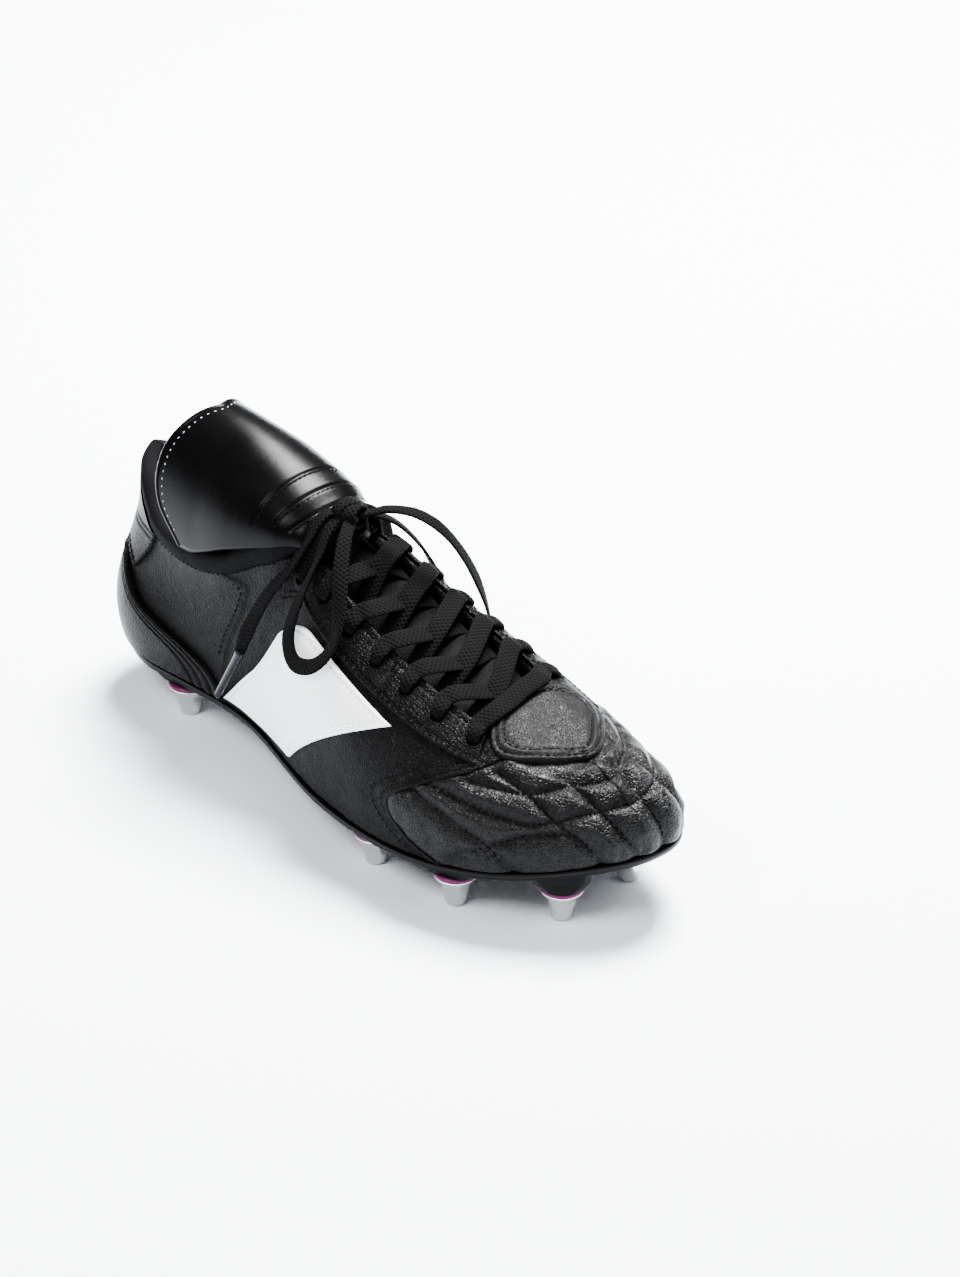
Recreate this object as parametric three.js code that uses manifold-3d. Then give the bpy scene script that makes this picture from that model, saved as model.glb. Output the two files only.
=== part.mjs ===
// Low-cut soccer cleat for the right foot, with a leather upper, a fold-over tongue,
// a tied lace and eight screw-in studs.  Millimetres, +Z up.
// While it is being built, X runs from the heel (0) to the toe, +Y is the inner (medial) side
// of the foot and z = 0 is the ground under the stud tips.  The finished group is then moved so
// that the origin lies under the middle of the shoe.
import * as THREE from 'three';
import { mergeVertices } from 'three/addons/utils/BufferGeometryUtils.js';
import Module from 'manifold-3d';

const wasm = await Module();
wasm.setup();

// ---------------------------------------------------------------- driving dimensions
const SHOE_LENGTH = 277;           // heel to toe along the sole
const WIDTH_SCALE = 1;             // 1 is a medium fitting
const along = (share) => SHOE_LENGTH * share;
const HEEL_AXIS_X = along(0.1227);    // ends of the spine that the ribs of the upper fan out from
const TOE_AXIS_X = along(0.852);
const FAN_SKEW = 0.52;             // below 1 turns the ribs square to the spine

const LEATHER = 1.2;               // outer leather
const STIFFENER = 0.8;             // heel counter and toe puff
const LINING = 1.2;
const OVERLAY = 1.1;               // pieces stitched on top of the outer leather
const PLY_GAP = 0.7;              // clearance between neighbouring plies
const OVERLAY_GAP = 0.75;          // the same under the overlays
const FOOT_INSET = 1;              // from the plate edge to the foot of the upper
const HEEL_TUCK = 2;               // further inset of the plate and the upper under the heel
const SEAM_GAP = 1.3;              // degrees of rib angle left open at a butted seam

const PLATE_THICKNESS = 3.2;
const BOARD_THICKNESS = 1.6;
const INSOLE_THICKNESS = 4;
const INSOLE_INSET = 5.8;            // from the foot of the upper to the insole edge
const FIT_GAP = 0.3;               // clearance between stacked rigid pieces

const STUD_LENGTH = 13;
const STUD_TIP_LAND = 3;           // radius of the flat face that the stud stands on
const STUD_FLANGE = 1.1;           // thickness of the flange
const STUD_FLANGE_RADIUS = 8.3;
const STUD_BASE_RADIUS = 6.3;
const STUD_TIP_RADIUS = 4.3;
const STUD_FLATS = 9.6;            // across the two spanner flats
const SEAT_RADIUS = 8.8;
const SEAT_THICKNESS = 1.4;
const SOCKET_RADIUS = 4;           // threaded sleeve of the seat, inside the plate
const POST_RADIUS = 2.5;           // threaded post of the stud

const EYELET_COUNT = 7;
const EYELET_FIRST_X = { lateral: along(0.7726), medial: along(0.74) };    // nearest the toe
const EYELET_PITCH = { lateral: along(0.0585), medial: along(0.0542) };
const EYELET_HEIGHT = 0.635;       // share of the way up the rib
const EYELET_RADIUS = 2.6;
const THROAT_EDGE = 0.74;          // share of the way up the rib where the eyestay ends
const COLLAR_EDGE = 0.948;         // the same behind the eyestay, under the collar roll
const COLLAR_ROLL = 3;             // radius of the padded collar
const LACE_RADIUS = 1;           // the lace drawn together into a round cord
const AGLET_RADIUS = 1.5;

const TONGUE_THICKNESS = 2.6;
const TONGUE_DEPTH = 8.7;           // tongue face below the face of the upper
const TONGUE_HALF_WIDTH = { top: 7, base: 19 };    // at the flap and under the lower eyelets
const FLAP_THICKNESS = 1.8;
const FLAP_HINGE_X = along(0.4043);
const FLAP_MOUTH = 1.5;            // depth of the upper end of the tongue, where the flap begins
const TONGUE_GAP = 0.8;            // from the flap to the tongue
const TONGUE_STEP = 3.6;           // length over which the tongue sinks to its full depth

const degrees = THREE.MathUtils.degToRad;
const lerp = THREE.MathUtils.lerp;
const clamp = THREE.MathUtils.clamp;

// Curve through [x, value] pairs, with a straight tangent rule at each pair.
function smooth(pairs) {
  const slope = pairs.map((pair, i) => {
    const before = pairs[Math.max(i - 1, 0)];
    const after = pairs[Math.min(i + 1, pairs.length - 1)];
    return (after[1] - before[1]) / (after[0] - before[0]);
  });
  return (x) => {
    const at = clamp(x, pairs[0][0], pairs[pairs.length - 1][0]);
    let i = 0;
    while (i < pairs.length - 2 && at >= pairs[i + 1][0]) i += 1;
    const span = pairs[i + 1][0] - pairs[i][0];
    const t = (at - pairs[i][0]) / span;
    return (2 * t ** 3 - 3 * t * t + 1) * pairs[i][1] + (t ** 3 - 2 * t * t + t) * span * slope[i]
      + (3 * t * t - 2 * t ** 3) * pairs[i + 1][1] + (t ** 3 - t * t) * span * slope[i + 1];
  };
}

// ---------------------------------------------------------------- plan of the sole
const centreLine = smooth([[0, 0], [along(0.22), 0], [along(0.5), -1], [along(0.72), 0],
  [along(0.87), 4.5], [along(1), 13]]);
const lateralHalf = smooth([[0, 29], [along(0.11), 30.5], [along(0.32), 28.5], [along(0.54), 44.5],
  [along(0.69), 48.6], [along(0.87), 45.5], [along(1), 40]]);
const medialHalf = smooth([[0, 28], [along(0.11), 29.5], [along(0.34), 29], [along(0.54), 40],
  [along(0.69), 46], [along(0.87), 42.5], [along(1), 38]]);
const HEEL_ROUND = along(0.1372);   // length over which the heel rounds off
const TOE_ROUND = along(0.296);     // length over which the toe rounds off

function roundedEnds(x) {
  const heel = clamp((HEEL_ROUND - x) / HEEL_ROUND, 0, 1);
  const toe = clamp((x - SHOE_LENGTH + TOE_ROUND) / TOE_ROUND, 0, 1);
  return (1 - heel ** 2.3) ** (1 / 2.3) * (1 - toe ** 2.25) ** (1 / 2.25);
}

function insidePlan(x, y) {
  if (x <= 0 || x >= SHOE_LENGTH) return false;
  const across = y - centreLine(x);
  const half = across > 0 ? medialHalf(x) : lateralHalf(x);
  return Math.abs(across) < half * WIDTH_SCALE * roundedEnds(x);
}

// ---------------------------------------------------------------- surface of the upper
// A rib stands on the sole edge at an angle round the shoe: 0 at the toe, 180 at the heel,
// positive on the medial side.  Its height share runs from 0 at the sole to 1 at the top.
const featherLine = smooth([[0, 21], [along(0.15), 20], [along(0.4), 19], [along(0.69), 19],
  [along(0.85), 22], [along(1), 30]]);
const ridgeLine = smooth([[along(0.343), 116.5], [along(0.397), 111], [along(0.4693), 100.5],
  [along(0.5776), 85.5], [along(0.686), 73.5], [along(0.776), 64.5], [TOE_AXIS_X, 57.5]]);
const collarHeight = {
  lateral: smooth([[90, 108], [100, 102], [110, 93], [120, 81], [133, 75.5], [148, 77], [163, 88],
    [180, 94]]),
  medial: smooth([[90, 108], [100, 103], [110, 96], [120, 86], [133, 79], [148, 79], [163, 88],
    [180, 94]]),
};
const collarReach = smooth([[90, 16], [100, 19], [112, 23], [125, 27], [145, 27], [163, 26],
  [180, 28]]);
const COLLAR_BLEND = [90, 108];    // rib angles over which the ridge gives way to the collar

const collarShare = (size) =>
  THREE.MathUtils.smoothstep(size, COLLAR_BLEND[0], COLLAR_BLEND[1]);

function ribBase(angle) {
  const middle = (HEEL_AXIS_X + TOE_AXIS_X) / 2;
  const half = (TOE_AXIS_X - HEEL_AXIS_X) / 2;
  const x = middle + half * Math.cos(degrees(angle));
  const out = new THREE.Vector2(FAN_SKEW * Math.cos(degrees(angle)), Math.sin(degrees(angle)));
  return { x, y: centreLine(x), out: out.normalize() };
}

const reachCache = new Map();
function ribReach(angle) {
  if (reachCache.has(angle)) return reachCache.get(angle);
  const { x, y, out } = ribBase(angle);
  let inner = 0;
  let outer = 90;
  for (let step = 0; step < 32; step += 1) {
    const middle = (inner + outer) / 2;
    if (insidePlan(x + out.x * middle, y + out.y * middle)) inner = middle;
    else outer = middle;
  }
  reachCache.set(angle, inner);
  return inner;
}

const heelShare = (size) => THREE.MathUtils.smoothstep(size, 120, 165);
const footReach = (angle) => ribReach(angle) - FOOT_INSET - HEEL_TUCK * heelShare(Math.abs(angle));

// The four control points of a rib, as distance from its base and height.  A closed rib runs up to
// the ridge over the instep even where the others end at the collar.
function ribControls(angle, closed) {
  const { x, out } = ribBase(angle);
  const size = Math.abs(angle);
  const reach = ribReach(angle);
  const foot = featherLine(x + out.x * reach);
  const heel = heelShare(size);
  const top = ridgeLine(x);
  const fullness = angle > 0 ? 0.6 : 0.5;
  const ridge = [[footReach(angle), foot], [reach + 2.5, foot + 0.6 * (top - foot)],
    [fullness * reach, top + 2 * (fullness - 0.25)], [0, top]];
  const side = angle > 0 ? 'medial' : 'lateral';
  const rim = collarHeight[side](size);
  const rise = rim - foot;
  const collar = [[footReach(angle), foot], [reach + 3.5 + 4 * heel, foot + 0.45 * rise],
    [collarReach(size) - 1, rim - 0.45 * rise], [collarReach(size), rim]];
  const blend = closed ? 0 : collarShare(size);
  return ridge.map((point, i) => [lerp(point[0], collar[i][0], blend),
    lerp(point[1], collar[i][1], blend)]);
}

function bezier(controls, t, axis) {
  const w = [(1 - t) ** 3, 3 * (1 - t) ** 2 * t, 3 * (1 - t) * t * t, t ** 3];
  return w.reduce((sum, weight, i) => sum + weight * controls[i][axis], 0);
}

const wrapAngle = (angle) => (angle > 180 ? angle - 360 : angle < -180 ? angle + 360 : angle);

function upperFace(angle, height, closed = false) {
  const rib = wrapAngle(angle);
  const { x, y, out } = ribBase(rib);
  const controls = ribControls(rib, closed);
  const distance = bezier(controls, height, 0);
  return new THREE.Vector3(x + out.x * distance, y + out.y * distance,
    bezier(controls, height, 1));
}

const DERIVATIVE_ANGLE = 1.5;
const DERIVATIVE_HEIGHT = 0.02;

function faceNormal(angle, height, closed = false) {
  const level = clamp(height, DERIVATIVE_HEIGHT, 0.96);
  const round = upperFace(angle + DERIVATIVE_ANGLE, level, closed)
    .sub(upperFace(angle - DERIVATIVE_ANGLE, level, closed));
  const up = upperFace(angle, level + DERIVATIVE_HEIGHT, closed)
    .sub(upperFace(angle, level - DERIVATIVE_HEIGHT, closed));
  return round.cross(up).normalize();
}

// Point at a distance outside (+) or inside (-) the face of the upper.  On the ridge, where the
// ribs of the two sides meet, both sides share one direction.
function upperPoint(angle, height, offset, closed = false) {
  const normal = faceNormal(angle, height, closed);
  if (height > 0.999 && Math.abs(angle) < COLLAR_BLEND[0]) {
    normal.add(faceNormal(-angle, height, closed)).normalize();
  }
  return upperFace(angle, height, closed).addScaledVector(normal, offset);
}

// The same from a place in plan, for pieces that lie across the ridge.
function overRidge(x, y, offset) {
  const medial = y > centreLine(x);
  const sign = medial ? 1 : -1;
  let near = 0.5;
  let far = 120;
  for (let step = 0; step < 30; step += 1) {
    const angle = (near + far) / 2;
    const base = ribBase(sign * angle);
    const cross = base.out.x * (y - base.y) - base.out.y * (x - base.x);
    if (cross * sign > 0) near = angle;
    else far = angle;
  }
  const angle = sign * (near + far) / 2;
  const base = ribBase(angle);
  const distance = Math.hypot(x - base.x, y - base.y);
  const controls = ribControls(angle, true);
  let low = 0.2;
  let high = 1;
  for (let step = 0; step < 30; step += 1) {
    const middle = (low + high) / 2;
    if (bezier(controls, middle, 0) > distance) low = middle;
    else high = middle;
  }
  return upperPoint(angle, (low + high) / 2, offset, true);
}

// ---------------------------------------------------------------- mesh helpers
function closedGeometry(triangles) {
  const geometry = new THREE.BufferGeometry();
  geometry.setAttribute('position', new THREE.Float32BufferAttribute(
    triangles.flat().flatMap((p) => [p.x, p.y, p.z]), 3));
  return geometry;
}

// A thin sheet over a grid of u and v from 0 to 1.  place(u, v, face) gives a point on the outer
// (face 1) or inner (face 0) side.  A sewn sheet has no wall along v = 1, where it meets itself.
function sheet(columns, rows, place, sewn = false) {
  const grid = [0, 1].map((face) => Array.from({ length: columns + 1 }, (_, i) =>
    Array.from({ length: rows + 1 }, (__, j) => place(i / columns, j / rows, face))));
  const triangles = [];
  const quad = (a, b, c, d) => triangles.push([a, b, c], [a, c, d]);
  for (let i = 0; i < columns; i += 1) {
    for (let j = 0; j < rows; j += 1) {
      quad(grid[1][i][j], grid[1][i + 1][j], grid[1][i + 1][j + 1], grid[1][i][j + 1]);
      quad(grid[0][i][j], grid[0][i][j + 1], grid[0][i + 1][j + 1], grid[0][i + 1][j]);
    }
    quad(grid[0][i][0], grid[0][i + 1][0], grid[1][i + 1][0], grid[1][i][0]);
    if (!sewn) {
      quad(grid[1][i][rows], grid[1][i + 1][rows], grid[0][i + 1][rows], grid[0][i][rows]);
    }
  }
  for (let j = 0; j < rows; j += 1) {
    quad(grid[1][0][j], grid[1][0][j + 1], grid[0][0][j + 1], grid[0][0][j]);
    quad(grid[0][columns][j], grid[0][columns][j + 1], grid[1][columns][j + 1],
      grid[1][columns][j]);
  }
  return closedGeometry(triangles);
}

// A solid through a row of closed rings, with a fan over each end ring.
function loft(rings) {
  const triangles = [];
  const count = rings[0].length;
  for (let i = 0; i + 1 < rings.length; i += 1) {
    for (let k = 0; k < count; k += 1) {
      const next = (k + 1) % count;
      triangles.push([rings[i][k], rings[i][next], rings[i + 1][next]],
        [rings[i][k], rings[i + 1][next], rings[i + 1][k]]);
    }
  }
  const cap = (ring, flipped) => {
    const middle = ring.reduce((sum, p) => sum.add(p), new THREE.Vector3())
      .divideScalar(count);
    for (let k = 0; k < count; k += 1) {
      const next = ring[(k + 1) % count];
      triangles.push(flipped ? [middle, next, ring[k]] : [middle, ring[k], next]);
    }
  };
  cap(rings[0], true);
  cap(rings[rings.length - 1], false);
  return closedGeometry(triangles);
}

function toSolid(geometry) {
  const bare = geometry.index ? geometry.toNonIndexed() : geometry.clone();
  bare.deleteAttribute('normal');
  bare.deleteAttribute('uv');
  const merged = mergeVertices(bare, 1e-4);
  return new wasm.Manifold(new wasm.Mesh({
    numProp: 3,
    vertProperties: new Float32Array(merged.attributes.position.array),
    triVerts: new Uint32Array(merged.index.array),
  }));
}

function fromSolid(solid) {
  const { vertProperties, triVerts } = solid.getMesh();
  const geometry = new THREE.BufferGeometry();
  geometry.setAttribute('position', new THREE.BufferAttribute(vertProperties, 3));
  geometry.setIndex(new THREE.BufferAttribute(triVerts, 1));
  return geometry;
}

const cut = (geometry, cutters) => fromSolid(
  cutters.reduce((solid, cutter) => solid.subtract(toSolid(cutter)), toSolid(geometry)));

const join = (geometries) => fromSolid(geometries.map(toSolid).reduce((a, b) => a.add(b)));

function cylinder(radius, bottom, top, sides, x, y) {
  return new THREE.CylinderGeometry(radius, radius, top - bottom, sides)
    .rotateX(Math.PI / 2).translate(x, y, (top + bottom) / 2);
}

function lathe(profile, sides, x, y) {
  return new THREE.LatheGeometry(profile.map(([radius, z]) => new THREE.Vector2(radius, z)), sides)
    .rotateX(Math.PI / 2).translate(x, y, 0);
}

function tube(points, radius, steps, sides = 8, evenSteps = true) {
  const section = new THREE.Shape(Array.from({ length: sides }, (_, k) => new THREE.Vector2(
    radius * Math.cos((2 * Math.PI * k) / sides), radius * Math.sin((2 * Math.PI * k) / sides))));
  const path = new THREE.CatmullRomCurve3(points.map((p) => new THREE.Vector3(...p)), false,
    'centripetal');
  // Stepped from point to point, the tube gets more steps where its points are close together.
  if (!evenSteps) path.getUtoTmapping = (u) => u;
  return new THREE.ExtrudeGeometry(section, { steps, extrudePath: path, bevelEnabled: false });
}

const shoe = new THREE.Group();
function addPart(name, geometry, material) {
  const mesh = new THREE.Mesh(geometry, material);
  mesh.name = name;
  shoe.add(mesh);
  return mesh;
}

// ---------------------------------------------------------------- materials
const finish = (color, roughness, metalness = 0) =>
  new THREE.MeshStandardMaterial({ color, roughness, metalness });
const blackLeather = finish(0x15161a, 0.42);
const glossLeather = finish(0x101114, 0.25);
const whiteLeather = finish(0xf2f3f5, 0.5);
const meshLining = finish(0x1b1c20, 0.9);
const fibreBoard = finish(0x6d665c, 0.85);
const foam = finish(0x24262b, 0.95);
const webbing = finish(0x0d0d0f, 0.8);
const plasticBlack = finish(0x0f1013, 0.35);
const plasticMagenta = finish(0xb02a86, 0.4);
const aluminium = finish(0xc9ccd0, 0.28, 1);
const steel = finish(0x8d9096, 0.35, 1);
const aglet = finish(0x3a3c40, 0.3);

// ---------------------------------------------------------------- sole
// A slab between two heights above the feather line, at an inset from the foot of the upper.
function soleSlab(inset, bottom, top, columns, rows) {
  const place = (u, v, face) => {
    const angle = lerp(-180, 180, u);
    const { x, y, out } = ribBase(angle);
    const distance = (footReach(angle) - inset) * (1 - v);
    const px = x + out.x * distance;
    return new THREE.Vector3(px, y + out.y * distance, featherLine(px) + (face ? top : bottom));
  };
  return sewnRound(columns, rows, place);
}

// Like a sheet, but its columns close on themselves and its last row folds onto the spine.
function sewnRound(columns, rows, place) {
  const triangles = [];
  const quad = (a, b, c, d) => triangles.push([a, b, c], [a, c, d]);
  const at = (i, j, face) => {
    const mirrored = j === rows && i > columns / 2 ? columns - i : i % columns;
    return place(mirrored / columns, j / rows, face);
  };
  for (let i = 0; i < columns; i += 1) {
    for (let j = 0; j < rows; j += 1) {
      quad(at(i, j, 1), at(i + 1, j, 1), at(i + 1, j + 1, 1), at(i, j + 1, 1));
      quad(at(i, j, 0), at(i, j + 1, 0), at(i + 1, j + 1, 0), at(i + 1, j, 0));
    }
    quad(at(i, 0, 0), at(i + 1, 0, 0), at(i + 1, 0, 1), at(i, 0, 1));
  }
  return closedGeometry(triangles);
}

const studs = [
  { name: 'heel_lateral', x: along(0.175), y: -20.5 },
  { name: 'heel_medial', x: along(0.175), y: 19.5 },
  { name: 'rear_lateral', x: along(0.64), y: -38.5 },
  { name: 'rear_medial', x: along(0.61), y: 32 },
  { name: 'middle_lateral', x: along(0.786), y: -35.5 },
  { name: 'middle_medial', x: along(0.765), y: 35 },
  { name: 'front_lateral', x: along(0.907), y: -13.8 },
  { name: 'front_medial', x: along(0.9), y: 22 },
];
for (const stud of studs) stud.y *= WIDTH_SCALE;

const SEAT_BOTTOM = 13.3;          // where the studs meet their seats
const STUD_TOP = SEAT_BOTTOM - FIT_GAP;
const GROUND = STUD_TOP - STUD_LENGTH;
const SEAT_TOP = SEAT_BOTTOM + SEAT_THICKNESS;
const BOSS_BOTTOM = SEAT_TOP + FIT_GAP;
const BOSS_MARGIN = 0.6;
const PLATE_TOP = -2 * FIT_GAP;    // above the feather line

function solePlate() {
  const slab = soleSlab(-FOOT_INSET, PLATE_TOP - PLATE_THICKNESS, PLATE_TOP, 36, 2);
  const bosses = studs.map(({ x, y }) => cylinder(SEAT_RADIUS + BOSS_MARGIN, BOSS_BOTTOM,
    featherLine(x) - PLATE_THICKNESS / 2, 10, x, y));
  const bores = studs.map(({ x, y }) => cylinder(SOCKET_RADIUS + FIT_GAP, GROUND, featherLine(x) + 5,
    10, x, y));
  return cut(join([slab, ...bosses]), bores);
}

addPart('sole_plate', solePlate(), plasticBlack);
addPart('insole_board', soleSlab(INSOLE_INSET, 0, BOARD_THICKNESS, 36, 2), fibreBoard);
addPart('insole', soleSlab(INSOLE_INSET, BOARD_THICKNESS + FIT_GAP,
  BOARD_THICKNESS + FIT_GAP + INSOLE_THICKNESS, 36, 2), foam);

function studBody(x, y) {
  const flange = STUD_TOP - STUD_FLANGE;
  const body = lathe([[0, GROUND], [STUD_TIP_LAND, GROUND], [STUD_TIP_RADIUS, GROUND + 1.6],
    [STUD_BASE_RADIUS, flange - 0.5], [STUD_FLANGE_RADIUS, flange],
    [STUD_FLANGE_RADIUS, STUD_TOP], [0, STUD_TOP]], 14, x, y);
  const flatHeight = STUD_LENGTH - 4;
  const flatCut = (side) => new THREE.BoxGeometry(10, 30, flatHeight)
    .translate(x + side * (STUD_FLATS / 2 + 5), y, GROUND + flatHeight / 2);
  return cut(body, [flatCut(1), flatCut(-1)]);
}

function studSeat(x, y) {
  const top = featherLine(x) - 1;
  const bore = POST_RADIUS + FIT_GAP;
  return lathe([[bore, SEAT_BOTTOM], [SEAT_RADIUS, SEAT_BOTTOM], [SEAT_RADIUS - 0.5, SEAT_TOP],
    [SOCKET_RADIUS, SEAT_TOP], [SOCKET_RADIUS, top], [bore, top], [bore, SEAT_BOTTOM]], 12, x, y);
}

for (const { name, x, y } of studs) {
  const postTop = featherLine(x) - 1.6;
  addPart(`stud_${name}`, studBody(x, y), aluminium);
  addPart(`stud_post_${name}`, cylinder(POST_RADIUS, SEAT_BOTTOM, postTop, 10, x, y),
    steel);
  addPart(`stud_seat_${name}`, studSeat(x, y), plasticMagenta);
}

// ---------------------------------------------------------------- toe patch
const PATCH = { x: along(0.8087), y: 4.5, halfLength: 18, halfWidth: 24 };
function toePatch(scale, bottom, top) {
  const SIDES = 24;
  const ringScales = [0.5, 1];
  const place = (ring, k, depth) => {
    const turn = (2 * Math.PI * k) / SIDES;
    const shape = 1 / (Math.abs(Math.cos(turn)) ** 3 + Math.abs(Math.sin(turn)) ** 3) ** (1 / 3);
    const taper = 1 - 0.16 * Math.cos(turn) * shape * ring;
    return overRidge(PATCH.x + PATCH.halfLength * scale * ring * shape * Math.cos(turn),
      PATCH.y + PATCH.halfWidth * scale * ring * shape * Math.sin(turn) * taper, depth);
  };
  const rings = [bottom, top].map((depth) => ringScales.map((ring) =>
    Array.from({ length: SIDES }, (_, k) => place(ring, k, depth))));
  const middle = [bottom, top].map((depth) => overRidge(PATCH.x, PATCH.y, depth));
  const triangles = [];
  for (let k = 0; k < SIDES; k += 1) {
    const next = (k + 1) % SIDES;
    triangles.push([middle[1], rings[1][0][k], rings[1][0][next]]);
    triangles.push([middle[0], rings[0][0][next], rings[0][0][k]]);
    for (let r = 0; r + 1 < ringScales.length; r += 1) {
      triangles.push([rings[1][r][k], rings[1][r + 1][k], rings[1][r + 1][next]]);
      triangles.push([rings[1][r][k], rings[1][r + 1][next], rings[1][r][next]]);
      triangles.push([rings[0][r][k], rings[0][r + 1][next], rings[0][r + 1][k]]);
      triangles.push([rings[0][r][k], rings[0][r][next], rings[0][r + 1][next]]);
    }
    const rim = ringScales.length - 1;
    triangles.push([rings[1][rim][k], rings[0][rim][k], rings[0][rim][next]]);
    triangles.push([rings[1][rim][k], rings[0][rim][next], rings[1][rim][next]]);
  }
  return closedGeometry(triangles);
}
addPart('toe_patch', toePatch(1, 1.1, 2.2), blackLeather);

// ---------------------------------------------------------------- upper
// Depth of each ply below (-) or above (+) the face of the upper.
const plyLeather = [-LEATHER, 0];
const stiffenerTop = -LEATHER - PLY_GAP;
const plyStiffener = [stiffenerTop - STIFFENER, stiffenerTop];
const liningTop = plyStiffener[0] - PLY_GAP;
const plyLining = [liningTop - LINING, liningTop];
const plyOverlay = [OVERLAY_GAP, OVERLAY_GAP + OVERLAY];

// A ply whose rib angle and height share come from a map of u and v.
const ply = (depths, columns, rows, map, sewn) => sheet(columns, rows, (u, v, face) => {
  const [angle, height] = map(u, v);
  return upperPoint(angle, height, depths[face]);
}, sewn);

// The vamp ends in a seam whose rib angle changes with the height.
const THROAT_FRONT = 36;           // rib angle at the front of the throat
const vampSeam = smooth([[0, 52], [0.09, 60], [0.19, 64.5], [0.3, 60], [0.53, 46],
  [THROAT_EDGE, THROAT_FRONT + 2], [1, THROAT_FRONT]]);
const COLLAR_START = 104;          // rib angle where the eyestay ends and the collar begins

function quarterTop(size) {
  return lerp(THROAT_EDGE, COLLAR_EDGE, collarShare(size));
}

addPart('vamp', ply(plyLeather, 24, 9, (u, v) => [lerp(-1, 1, u) * vampSeam(v), v], true),
  blackLeather);
addPart('toe_puff', ply(plyStiffener, 14, 4, (u, v) => [lerp(-34, 34, u), lerp(0.05, 0.43, v)]),
  fibreBoard);
addPart('vamp_lining', ply(plyLining, 16, 7, (u, v) => [lerp(-THROAT_FRONT, THROAT_FRONT, u), v],
  true), meshLining);

const sides = { lateral: -1, medial: 1 };
const eyeletHeight = (angle) => EYELET_HEIGHT * quarterTop(Math.abs(angle)) / THROAT_EDGE;

// Rib angle of each eyelet of a side, found from its distance along the shoe.
function eyeletAngles(label) {
  return Array.from({ length: EYELET_COUNT }, (_, i) => {
    const x = EYELET_FIRST_X[label] - i * EYELET_PITCH[label];
    let near = THROAT_FRONT;
    let far = COLLAR_START;
    for (let step = 0; step < 24; step += 1) {
      const angle = sides[label] * (near + far) / 2;
      if (upperFace(angle, eyeletHeight(angle)).x > x) near = Math.abs(angle);
      else far = Math.abs(angle);
    }
    return sides[label] * (near + far) / 2;
  });
}
const eyelets = { lateral: eyeletAngles('lateral'), medial: eyeletAngles('medial') };

function eyeletPin(angle) {
  const inner = upperPoint(angle, eyeletHeight(angle), -8);
  const outer = upperPoint(angle, eyeletHeight(angle), 4);
  const direction = outer.clone().sub(inner);
  const pin = new THREE.CylinderGeometry(EYELET_RADIUS, EYELET_RADIUS, direction.length(), 8);
  pin.applyQuaternion(new THREE.Quaternion().setFromUnitVectors(new THREE.Vector3(0, 1, 0),
    direction.clone().normalize()));
  return pin.translate(...inner.add(outer).divideScalar(2).toArray());
}

for (const [label, side] of Object.entries(sides)) {
  const pins = eyelets[label].map(eyeletPin);
  const turn = (map) => (side > 0 ? map : (u, v) => map(1 - u, v));

  // Outer leather from the vamp seam round to the back seam.
  const quarter = turn((u, v) => {
    const front = vampSeam(v * THROAT_EDGE) + SEAM_GAP;
    const angle = lerp(front, 180 - SEAM_GAP / 2, u);
    const topAngle = lerp(vampSeam(THROAT_EDGE) + SEAM_GAP, 180 - SEAM_GAP / 2, u);
    return [side * angle, v * quarterTop(topAngle)];
  });
  addPart(`quarter_${label}`, cut(ply(plyLeather, 26, 6, quarter), pins), blackLeather);

  // Reinforcement along the eyelets.
  const eyestay = turn((u, v) => {
    const angle = lerp(44, COLLAR_START, u);
    const top = quarterTop(angle) - 0.012;
    return [side * angle, lerp(top - 0.2, top, v)];
  });
  addPart(`eyestay_${label}`, cut(ply(plyOverlay, 18, 2, eyestay),
    [...pins, toePatch(1.03, -1, 5)]), blackLeather);

  // Broad leaning panel on the side of the foot.
  const PANEL = { foot: [92, 119], head: [66, 101], base: 0.04, top: 0.47 };
  const panel = turn((u, v) => [side * lerp(lerp(PANEL.foot[0], PANEL.head[0], v),
    lerp(PANEL.foot[1], PANEL.head[1], v), u), lerp(PANEL.base, PANEL.top, v)]);
  addPart(`side_panel_${label}`, ply(plyOverlay, 11, 5, panel), whiteLeather);
}

// Lining of the quarters, one piece round the heel.
addPart('quarter_lining', cut(ply(plyLining, 44, 5, (u, v) => {
  const angle = lerp(THROAT_FRONT + SEAM_GAP, 360 - THROAT_FRONT - SEAM_GAP, u);
  const size = Math.abs(wrapAngle(angle));
  return [wrapAngle(angle), v * quarterTop(size)];
}), [...eyelets.lateral, ...eyelets.medial].map(eyeletPin)), meshLining);

const heelBand = (reach, base, top) => (u, v) => {
  const level = lerp(base, top, v);
  return [wrapAngle(180 + lerp(-1, 1, u) * reach(v)), level];
};
addPart('heel_counter', ply(plyStiffener, 16, 4, heelBand(() => 46, 0.03, 0.55)), fibreBoard);
const plyHeel = plyOverlay.map((depth) => depth + 0.25);
addPart('heel_overlay', ply(plyHeel, 28, 8, heelBand((v) => lerp(61, 15, v ** 2.2), 0.02, 0.53)),
  blackLeather);
addPart('heel_tab', ply(plyOverlay, 12, 3, heelBand((v) => lerp(26, 32, v), 0.56, 0.92)),
  blackLeather);

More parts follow.
